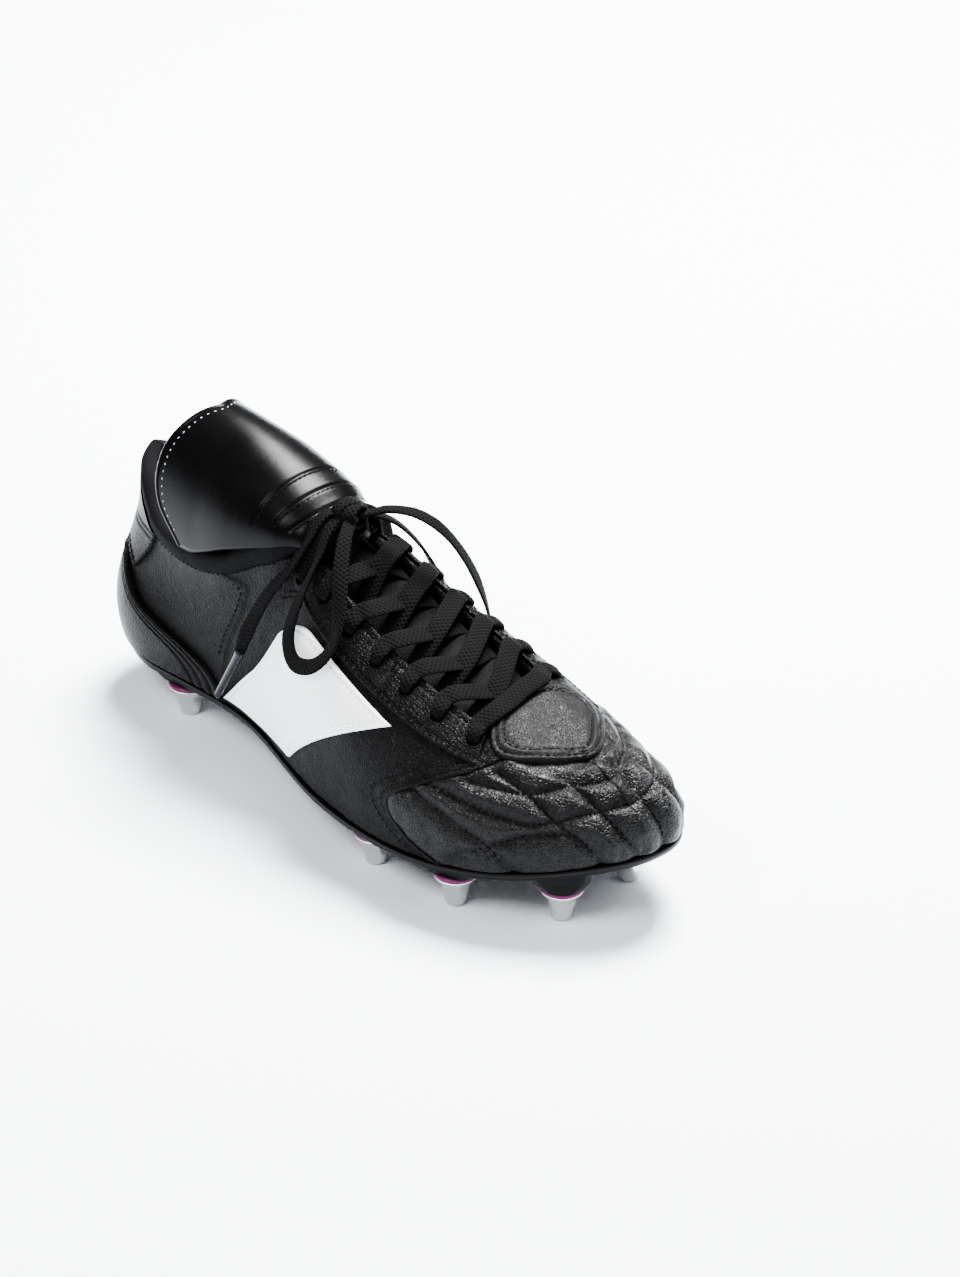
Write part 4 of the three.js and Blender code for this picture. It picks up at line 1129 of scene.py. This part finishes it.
def lathe(name, profile, spot, finish, sides=72, flats=None, **options):
    """Solid of revolution round a stud axis; flats is (half width, lowest z, highest z)."""
    profile = np.asarray(profile, float)
    turn = np.linspace(0, 2 * math.pi, sides, endpoint=False)
    x = profile[:, 0] * np.cos(turn)[:, None]
    y = profile[:, 0] * np.sin(turn)[:, None]
    z = np.broadcast_to(profile[:, 1], x.shape)
    if flats:
        half, low, high = flats
        fade = step(z, high + 0.3, high - 0.6) * step(z, low - 0.8, low + 0.2)
        x = np.where(fade > 0, mix(x, np.clip(x, -half, half), fade), x)
    points = np.stack([x + spot[0], y + spot[1], z], -1)
    return piece(name, points.reshape(-1, 3), grid_faces(sides, len(profile), True), finish,
                 **options)


def build_studs():
    tip = [(0.01, 0.02), (2.6, 0.02), (3.2, 0.08), (3.75, 0.35), (4.1, 0.9), (4.28, 1.6)]
    cone = [(4.28 + (6.1 - 4.28) * t, 1.6 + 9.6 * t) for t in np.linspace(0.06, 1, 22)]
    flange = [(6.4, 11.45), (7.4, 11.7), (8.1, 11.85), (8.3, 12.05), (8.3, 12.75), (8.15, 12.95),
              (7.9, 13.0), (0.01, 13.0)]
    seat = [(2.9, 13.3), (8.3, 13.3), (8.7, 13.36), (8.8, 13.6), (8.75, 14.1), (8.45, 14.6),
            (8.2, 14.7), (4.2, 14.72), (4.2, 15.4)]
    for name, spot in zip(STUDS, STUD_SPOTS):
        stud = lathe(f"stud_{name}_turned", tip + cone + flange, spot, stud_metal,
                     flats=(4.8, 1.2, 9.2), body=f"stud_{name}", slot="stud_metal")
        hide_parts(f"stud_{name}")
        ring = lathe(f"stud_seat_{name}_ring", seat, spot, seat_nylon, slot="seat_plastic")
        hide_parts(f"stud_seat_{name}")


# ------------------------------------------------------------------ tongue
FLAP_CREST = smooth([(along(.144), 127.5), (along(.217), 126), (along(.289), 122.5),
                     (along(.375), 115.5), (HINGE_X, 111.0), (along(0.45), 105.5)])
FLAP_HALF = smooth([(along(.144), 27), (along(.217), 28), (along(.289), 27.5), (along(.375), 23),
                    (HINGE_X, 18.5), (along(0.45), 16)])
FLAP_BASE = smooth([(along(.144), 80), (along(.217), 79), (along(.253), 83), (along(.289), 88),
                    (along(.375), 97), (HINGE_X, 99), (along(0.45), 98)])
FLAP_REAR = smooth([(0, along(.173)), (0.3, along(.1534)), (0.6, along(.1372)),
                    (0.85, along(.148)), (1, along(.195))])
TONGUE_FRONT = along(0.76)
FOLD_LINES = (113.0, 106.0, 97.0)
FOLD_BOW = 7.2                     # how far a fold line runs to the rear at the flap's sides
FLAP_THICK = 2.4
FLAP_HEM = 0.984                   # share of the way along the tongue to its last stitches
BINDING_RADIUS = 1.65
THROAT_PART = 122.0                # in front of this the tongue is of dull leather


def tongue_point(along_share, across, inner):
    """Middle surface of the tongue, with x falling from the throat to the rear of the flap."""
    x = mix(TONGUE_FRONT, FLAP_REAR(np.abs(across)), along_share)
    thick = np.where(inner, FLAP_THICK, 0.0)
    half = FLAP_HALF(x) - thick
    turn = across * math.pi / 2
    rise = FLAP_CREST(x) - FLAP_BASE(x) - thick
    flap = np.stack([x, centre_line(x) + half * np.sin(turn),
                     FLAP_BASE(x) + rise * np.maximum(np.cos(turn), 0)**0.9], -1)
    width = mix(15.0, 21.0, step(x, 125, 160))
    low, facing = over_ridge(x, centre_line(x) + width * across)
    depth = 4.6 + 1.6 * across**2 + thick - 0.6 * noise(low, 14)
    throat = low - facing * depth[..., None]
    return mix(throat, flap, step(x, 128, 112)[..., None])


def build_tongue():
    us = np.concatenate([np.linspace(0, 0.45, 70), np.linspace(0.453, 1, 190)])
    vs = np.linspace(-1, 1, 121)
    u, v = np.meshgrid(us, vs, indexing="ij")
    outer = tongue_point(u, v, np.zeros_like(u, bool))
    inner = tongue_point(u, v, np.ones_like(u, bool))
    facing = unit(np.cross(np.gradient(outer, axis=1), np.gradient(outer, axis=0)))
    x = outer[..., 0] + FOLD_BOW * v**2
    lines = sum(groove(x - at, 0.7) for at in FOLD_LINES) * step(np.abs(v), 0.8, 0.7)
    pillow = 0.35 * noise(outer * [0.6, 1, 1], 22) * step(outer[..., 0], 112, 100)
    outer = outer + facing * (pillow - 0.6 * lines)[..., None]
    count = len(us) * len(vs)
    faces = [face_[::-1] for face_ in grid_faces(len(us), len(vs))]
    faces += grid_faces(len(us), len(vs), start=count)
    last = len(vs) - 1
    for i in range(len(us) - 1):
        a, b = i * len(vs), (i + 1) * len(vs)
        faces.append((a, b, count + b, count + a))
        faces.append((b + last, a + last, count + a + last, count + b + last))
    tail = (len(us) - 1) * len(vs)
    for j in range(last):
        faces.append((tail + j, tail + j + 1, count + tail + j + 1, count + tail + j))
        faces.append((j + 1, j, count + j, count + j + 1))
    points = np.concatenate([outer.reshape(-1, 3), inner.reshape(-1, 3)])
    made = piece("tongue_whole", points, faces, gloss_leather, body=None, slot="tongue_leather")
    made.data.materials.append(throat_leather)
    behind = place([THROAT_PART, 0, 0])[0]
    for polygon in made.data.polygons:
        polygon.material_index = int(polygon.center.x > behind)
    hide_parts("tongue", "tongue_flap")
    bend(made)

    rim = (outer[-1] + inner[-1]) / 2
    tube("tongue_binding", resample(rim, 150), BINDING_RADIUS, gloss_leather, sides=12,
         body="tongue_flap", slot="tongue_leather")
    inset = np.abs(us - FLAP_HEM).argmin()
    keep = slice(3, len(vs) - 3)
    stitch_row("tongue_edge_stitches", [(outer[inset][keep], facing[inset][keep])], pale_thread,
               body="tongue_flap", slot="tongue_leather", length=1.1, pitch=2.9, radius=0.17)
    rows = []
    for at in FOLD_LINES:
        index = np.abs(x - at).argmin(0)
        columns = np.arange(14, len(vs) - 14)
        for shift in (-1.3, 1.3):
            line = outer[index[columns], columns]
            up = facing[index[columns], columns]
            slide = np.array([shift, 0, 0.0])
            rows.append((line + slide + up * 0.35, up))
    sewn = stitch_row("tongue_fold_stitches", rows, body=None, slot="tongue_leather", length=1.7,
                      pitch=2.5, radius=0.24)
    bend(sewn)


def bend(made):
    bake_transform(made)


# ------------------------------------------------------------------ lace
def ribbon_mesh(path, ups, width, thick):
    """Flat braid along a path: a thin superellipse section, with u across and v along in mm."""
    path = np.asarray(path, float)
    tangent = unit(np.gradient(path, axis=0))
    side = unit(np.cross(tangent, ups))
    up = np.cross(side, tangent)
    turn = np.linspace(0, 2 * math.pi, 18, endpoint=False)
    cosine, sine = np.cos(turn), np.sin(turn)
    across = np.sign(cosine) * np.abs(cosine)**0.55
    over = np.sign(sine) * np.abs(sine)**0.75
    width = np.broadcast_to(width, (len(path),))[:, None]
    thick = np.broadcast_to(thick, (len(path),))[:, None]
    ring = (path[:, None] + (width / 2 * across)[..., None] * side[:, None]
            + (thick / 2 * over)[..., None] * up[:, None])
    run = np.concatenate([[0], np.cumsum(np.linalg.norm(np.diff(path, axis=0), axis=1))])
    uv = np.stack([width / 2 * across * np.sign(sine + 0.01),
                   np.broadcast_to(run[:, None], ring.shape[:2])], -1)
    sides = len(turn)
    faces = round_band(len(path), sides)
    faces.append(capped_ring(0, sides, True))
    faces.append(capped_ring((len(path) - 1) * sides, sides, False))
    return ring.reshape(-1, 3), faces, uv.reshape(-1, 2)


def ribbon(name, path, ups, width=LACE_WIDTH, thick=LACE_THICKNESS, **options):
    points, faces, uv = ribbon_mesh(path, ups, width, thick)
    return piece(name, points, faces, lace_braid, slot="lace_webbing", uv=uv, **options)


def joined_ribbons(name, strips):
    """Several ribbons as one piece."""
    points, faces, uvs = [], [], []
    for path, ups, width, thick in strips:
        part, part_faces, uv = ribbon_mesh(path, ups, width, thick)
        start = sum(len(p) for p in points)
        points.append(part)
        uvs.append(uv)
        faces += [tuple(start + k for k in quad) for quad in part_faces]
    return piece(name, np.concatenate(points), faces, lace_braid, slot="lace_webbing",
                 uv=np.concatenate(uvs))


def strip(controls, count=46):
    """Path, ups, width and thickness from rows of (point, up, width, thickness)."""
    table = np.array([[*point, *up, width, thick] for point, up, width, thick in controls])
    dense = spline(table, count)
    return dense[:, :3], unit(dense[:, 3:6]), dense[:, 6], dense[:, 7]


def skin_at(angle, share, offset):
    angle = np.array([float(angle)])
    share = np.array([float(share)])
    facing = normal(angle, share)
    return (face(angle, share) + facing * offset)[0], facing[0]


def hole_end(side, k):
    """The lace where it dives into an eyelet, listed from the instep down into the hole."""
    angle = EYELETS[side][k]
    share = eyelet_height(angle)
    rows = []
    for lift, offset, width, thick, dive in (
            (0.085, 3.0, 7.2, 1.5, 0.0), (0.045, 3.35, 6.6, 1.8, 0.15), (0.012, 2.7, 5.2, 2.2, 0.6),
            (0.0, 0.6, 3.8, 2.4, 1.0), (0.004, -3.0, 3.6, 2.4, 1.0)):
        point, facing = skin_at(angle, share + lift, offset)
        down = unit(face(angle, share - 0.05) - face(angle, share))
        rows.append((point, unit(facing * (1 - dive) + down * dive), width, thick))
    return rows


def crossing(side, k):
    """One strap: out from under the eyestay on one side, over the tongue and the other eyestay."""
    near, far = EYELETS[side], EYELETS[-side]
    top_layer = side < 0
    middle = (face(near[k:k + 2], eyelet_height(near[k:k + 2]))[:, 0].mean()
              + face(far[k:k + 2], eyelet_height(far[k:k + 2]))[:, 0].mean()) / 2
    leaving = mix(near[k], near[k + 1], 0.28)
    arriving = mix(far[k], far[k + 1], 0.8)
    start, start_up = skin_at(leaving, quarter_top(leaving) - 0.05, -6.2)
    edge, edge_up = skin_at(leaving, quarter_top(leaving) + 0.06, -5.0)
    place_over = 1.5 if top_layer else -0.7
    halfway, halfway_up = over_ridge(middle, centre_line(middle), place_over)
    second, second_up = skin_at(arriving, quarter_top(arriving) + 0.05,
                                3.6 if top_layer else 2.9)
    rows = [(start, start_up, 6.2, 1.4), (edge, edge_up, STRAP_WIDTH, LACE_THICKNESS),
            (halfway, halfway_up, STRAP_WIDTH, LACE_THICKNESS),
            (second, second_up, STRAP_WIDTH, LACE_THICKNESS)]
    return strip(rows + hole_end(-side, k + 1))


def last_crossing(side):
    """The strap to the top eyelet, which stays below and comes up through the hole."""
    k = EYELET_COUNT - 2
    near, far = EYELETS[side], EYELETS[-side]
    leaving = mix(near[k], near[k + 1], 0.28)
    start, start_up = skin_at(leaving, quarter_top(leaving) - 0.05, -6.4)
    edge, edge_up = skin_at(leaving, quarter_top(leaving) + 0.05, -5.4)
    middle = (face(near[k:k + 1], eyelet_height(near[k:k + 1]))[0, 0]
              + face(far[k + 1:], eyelet_height(far[k + 1:]))[0, 0]) / 2
    halfway, halfway_up = over_ridge(middle, centre_line(middle), -0.2 if side < 0 else -2.0)
    under, under_up = skin_at(far[k + 1], eyelet_height(far[k + 1]) + 0.05, -6.0)
    return strip([(start, start_up, 5.6, 1.4), (edge, edge_up, 6.2, 1.3),
                  (halfway, halfway_up, 6.4, 1.3), (under, under_up, 5.0, 1.6)])


def to_knot(side):
    """From the top eyelet up to the knot."""
    rows = hole_end(side, EYELET_COUNT - 1)[::-1][:4]
    for shift, lean, width, thick in (([-0.5, side * 11.5, -4.6], [0.1, side * 0.7, 0.7], 5.6, 1.5),
                                      ([-0.3, side * 4.0, -0.6], [0.1, side * 0.3, 0.95], 4.6, 2.0)):
        rows.append((KNOT + shift, unit(np.array(lean)), width, thick))
    return strip(rows)


def front_bar():
    """The strap across the two front eyelets."""
    bar = []
    ends = [skin_at(EYELETS[side][0], eyelet_height(EYELETS[side][0]), 0)[0] for side in (-1, 1)]
    for share in (0.24, 0.42, 0.58, 0.76):
        spot = mix(ends[0], ends[1], share)
        point, facing = over_ridge(spot[0], spot[1], 3.9)
        bar.append((point, facing, STRAP_WIDTH, LACE_THICKNESS + 0.2))
    return strip(hole_end(-1, 0)[::-1] + bar + hole_end(1, 0), 90)


def build_lace():
    strips = [crossing(side, k) for side in (1, -1) for k in range(EYELET_COUNT - 2)]
    strips += [last_crossing(side) for side in (1, -1)]
    strips += [to_knot(side) for side in (1, -1)] + [front_bar()]
    made = joined_ribbons("lace_strung", strips)
    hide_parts("lace")


def build_knot():
    """The tied middle of the bow: a tight lump with two turns of lace round it."""
    strips = []
    turn = np.linspace(0, 2 * math.pi * 1.06, 60)
    for lean, reach, high, shift in ((0.35, 5.6, 4.6, -1.0), (-0.5, 4.7, 3.9, 2.6)):
        path = np.stack([KNOT[0] + shift + lean * 3.5 * np.sin(turn) * 0.9,
                         KNOT[1] + reach * np.sin(turn), KNOT[2] - 0.4 + high * np.cos(turn)], 1)
        ups = unit(path - (KNOT + [shift, 0, -0.4]))
        strips.append((path, ups, 6.0 + 0.6 * np.sin(3 * turn), 1.7 + 0 * turn))
    for way in ((-1, -0.6), (1, 0.7), (-1, 0.9), (1, -0.8)):
        lump = [KNOT + [way[0] * 6.2, way[1] * 5.2, -0.6], KNOT + [way[0] * 3.0, way[1] * 2.4, 0.6],
                KNOT + [0, 0, 0.4], KNOT + [-way[0] * 3.0, -way[1] * 2.0, -0.6]]
        path = spline(lump, 24)
        strips.append((path, np.tile([0.0, 0.0, 1.0], (24, 1)), np.linspace(4.4, 5.4, 24),
                       np.linspace(1.8, 2.6, 24)))
    made = joined_ribbons("lace_knot_tied", strips)
    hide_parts("lace_knot")


# Free lace, as the CAD routes it: x runs from the knot.
LOOSE_LACE = {
    "lace_loop_lateral": [
        (-0.3, -7.7, 109.5), (0.5, -13.5, 105.5), (2.5, -19, 99.5), (2.7, -24.6, 91.5), (2, -31, 80),
        (4, -35.6, 71), (12, -39.2, 66.5), (22.5, -38.8, 70), (27.6, -34, 79), (24.5, -28, 89.5),
        (17.5, -21, 99.5), (11, -13.5, 106.5), (6.2, -7, 109.6)],
    "lace_loop_medial": [
        (7, 4, 112), (12, 8.5, 113.8), (21, 14, 113.5), (29, 19.5, 108), (34, 25.5, 97),
        (37, 30.5, 84), (38, 34.5, 70), (34, 38.2, 58), (26, 39.8, 53), (18, 38.6, 58),
        (14, 35.4, 68), (12, 31, 80), (10, 25, 92), (7, 16.5, 103), (3.5, 8, 108.5)],
    "lace_end_lateral": [
        (-5, -7, 111.2), (-6, -12, 108), (-6.5, -17.4, 101), (-9.5, -23, 91), (-15.4, -27, 81.4),
        (-20.2, -29.4, 71.8), (-24.8, -31.6, 60.6), (-28.8, -32.8, 49.3)],
    "lace_end_medial": [
        (-2.5, 8, 110), (-4, 14, 105.5), (-6, 20, 98.5), (-10, 26, 88), (-15, 30.4, 77),
        (-20, 32.6, 66), (-24, 33.8, 55)],
}
AGLET_TIPS = {"lateral": (-42, -33.6, 25), "medial": (-32, 34.2, 31)}
AGLET_LENGTH = 26.0


def from_knot(points):
    return np.asarray(points, float) + [KNOT[0], 0, 0]


def lace_ups(path, twist):
    """Outward side of the free lace: away from a line inside the shoe, turned along its run."""
    core = np.stack([path[:, 0], centre_line(path[:, 0]), np.full(len(path), 58.0)], 1)
    away = unit(path - core)
    tangent = unit(np.gradient(path, axis=0))
    away = unit(away - tangent * np.sum(away * tangent, 1, keepdims=True))
    side = np.cross(tangent, away)
    turn = np.radians(np.interp(np.linspace(0, 1, len(path)), np.linspace(0, 1, len(twist)), twist))
    return away * np.cos(turn)[:, None] + side * np.sin(turn)[:, None]


LACE_TWISTS = {"lace_loop_lateral": (10, 35, 10, -25, -15, 20, 10),
               "lace_loop_medial": (0, 25, 50, 30, 0, -20, 0),
               "lace_end_lateral": (0, 20, 5, 0, -10), "lace_end_medial": (0, -20, -5, 10)}


def build_aglet(label):
    """Film shrunk round the end of the lace, with the dark braid inside it."""
    start = from_knot(LOOSE_LACE[f"lace_end_{label}"][-1])
    way = unit(from_knot(AGLET_TIPS[label]) - start)
    run = np.linspace(-3.0, AGLET_LENGTH, 40)
    path = start + way * run[:, None]
    radius = np.interp(run, [-3, -1, 2, 20, AGLET_LENGTH - 0.8, AGLET_LENGTH],
                       [2.0, 1.95, 1.7, 1.5, 1.42, 1.0])
    made = tube(f"aglet_{label}_film", path, radius, aglet_film, sides=20, slot="aglet_film")
    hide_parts(f"aglet_{label}")
    return made


def build_cords():
    for name, route in LOOSE_LACE.items():
        points = from_knot(route)
        inner = KNOT + [0.5 * (points[0][0] - KNOT[0]), 0.35 * (points[0][1] - KNOT[1]), -0.4]
        is_loop = "loop" in name
        rows = [inner, *points]
        if is_loop:
            rows.append(KNOT + [0.5 * (points[-1][0] - KNOT[0]), 0.3 * (points[-1][1]), -0.4])
        path = spline(np.array(rows), 110 if is_loop else 70)
        share = np.linspace(0, 1, len(path))
        if is_loop:
            width = np.interp(share, [0, 0.12, 0.3, 0.7, 0.88, 1], [4.4, 5.6, 6.4, 6.4, 5.6, 4.4])
            thick = np.interp(share, [0, 0.15, 0.85, 1], [2.0, 1.3, 1.3, 2.0])
        else:
            width = np.interp(share, [0, 0.15, 0.85, 1], [4.6, 6.2, 6.2, 3.4])
            thick = np.interp(share, [0, 0.2, 0.85, 1], [2.0, 1.5, 1.6, 2.6])
        made = ribbon(f"{name}_braid", path, lace_ups(path, LACE_TWISTS[name]), width, thick)
        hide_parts(name)
        extra = {} if is_loop else {"with_pieces": [build_aglet(name.split("_")[-1])]}


# ------------------------------------------------------------------ camera, light and floor
CAMERA_SPOT = (1310.40, -1037.39, 985.97)
CAMERA_TURN = 47.13964             # degrees from +y towards -x
CAMERA_TILT = 30.5245              # degrees downwards
FOCAL_PIXELS = 4844.52
FRAME_HEIGHT = 1277
SENSOR = 36.0
FLOOR_HALF = 6000
WORLD_TINT = (0.90, 0.95, 1.0)
WORLD_STRENGTH = 0.3
LIGHTS = {                         # place and aim in mm, size in metres, power in watts
    "key_box": ((-150, 650, 1300), (130, 0, 60), 0.62, 275),
    "left_box": ((200, -1000, 1300), (130, 0, 50), 0.7, 34),
    "front_box": ((1000, 500, 1000), (160, 0, 40), 0.6, 10),
}


def build_camera():
    data = bpy.data.cameras.new("camera")
    data.sensor_fit = "VERTICAL"
    data.sensor_height = SENSOR
    data.lens = FOCAL_PIXELS * SENSOR / FRAME_HEIGHT
    data.clip_end = 20
    camera = bpy.data.objects.new("camera", data)
    bpy.context.scene.collection.objects.link(camera)
    camera.location = place(CAMERA_SPOT)
    turn, tilt = math.radians(CAMERA_TURN), math.radians(CAMERA_TILT)
    look = Vector((-math.sin(turn) * math.cos(tilt), math.cos(turn) * math.cos(tilt),
                   -math.sin(tilt)))
    camera.rotation_euler = look.to_track_quat("-Z", "Y").to_euler()
    bpy.context.scene.camera = camera


def area_light(name, spot_mm, aim_mm, size, power):
    data = bpy.data.lights.new(name, "AREA")
    data.energy = power
    data.size = size
    light = bpy.data.objects.new(name, data)
    bpy.context.scene.collection.objects.link(light)
    light.location = place(spot_mm)
    way = Vector(place(aim_mm)) - light.location
    light.rotation_euler = way.to_track_quat("-Z", "Y").to_euler()


def build_stage():
    floor, tree, shader = material("floor_paper", (0.84, 0.885, 0.93), 0.9,
                                   Specular_IOR_Level=0.1)
    coords = millimetres(tree)
    grain = noise_field(tree, coords, 1.5, 2.0)
    add_bump(tree, shader, grain, 0.05, 0.05)
    corners = ((-1, -1, 0), (1, -1, 0), (1, 1, 0), (-1, 1, 0))
    mesh = bpy.data.meshes.new("floor")
    mesh.from_pydata(place(np.array(corners) * FLOOR_HALF).tolist(), [], [(0, 1, 2, 3)])
    mesh.materials.append(floor)
    made = bpy.data.objects.new("floor", mesh)
    bpy.context.scene.collection.objects.link(made)
    world = bpy.data.worlds.new("studio")
    world.use_nodes = True
    background = world.node_tree.nodes["Background"]
    background.inputs["Color"].default_value = (*WORLD_TINT, 1)
    background.inputs["Strength"].default_value = WORLD_STRENGTH
    bpy.context.scene.world = world
    for name, settings in LIGHTS.items():
        area_light(name, *settings)


def finish_cad_nodes():
    """Inner pieces keep their CAD solids with a finish of their own."""
    inner = {"insole_board": fibre_board, "toe_puff": fibre_board, "heel_counter": fibre_board}
    inner.update({f"stud_post_{name}": post_steel for name in STUDS})
    for name, finish in inner.items():
        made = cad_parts[name]
        made.data.materials.clear()
        made.data.materials.append(finish)


build_camera()
build_cords()
build_vamp()
quilt_rows()
build_toe_patch()
for foot_side in (-1, 1):
    build_quarter(foot_side)
    build_eyestay(foot_side)
    build_side_panel(foot_side)
build_heel_overlay()
build_heel_tab()
build_collar()
build_lining()
build_insole()
build_sole_plate()
build_studs()
build_tongue()
build_lace()
build_knot()
finish_cad_nodes()
build_stage()
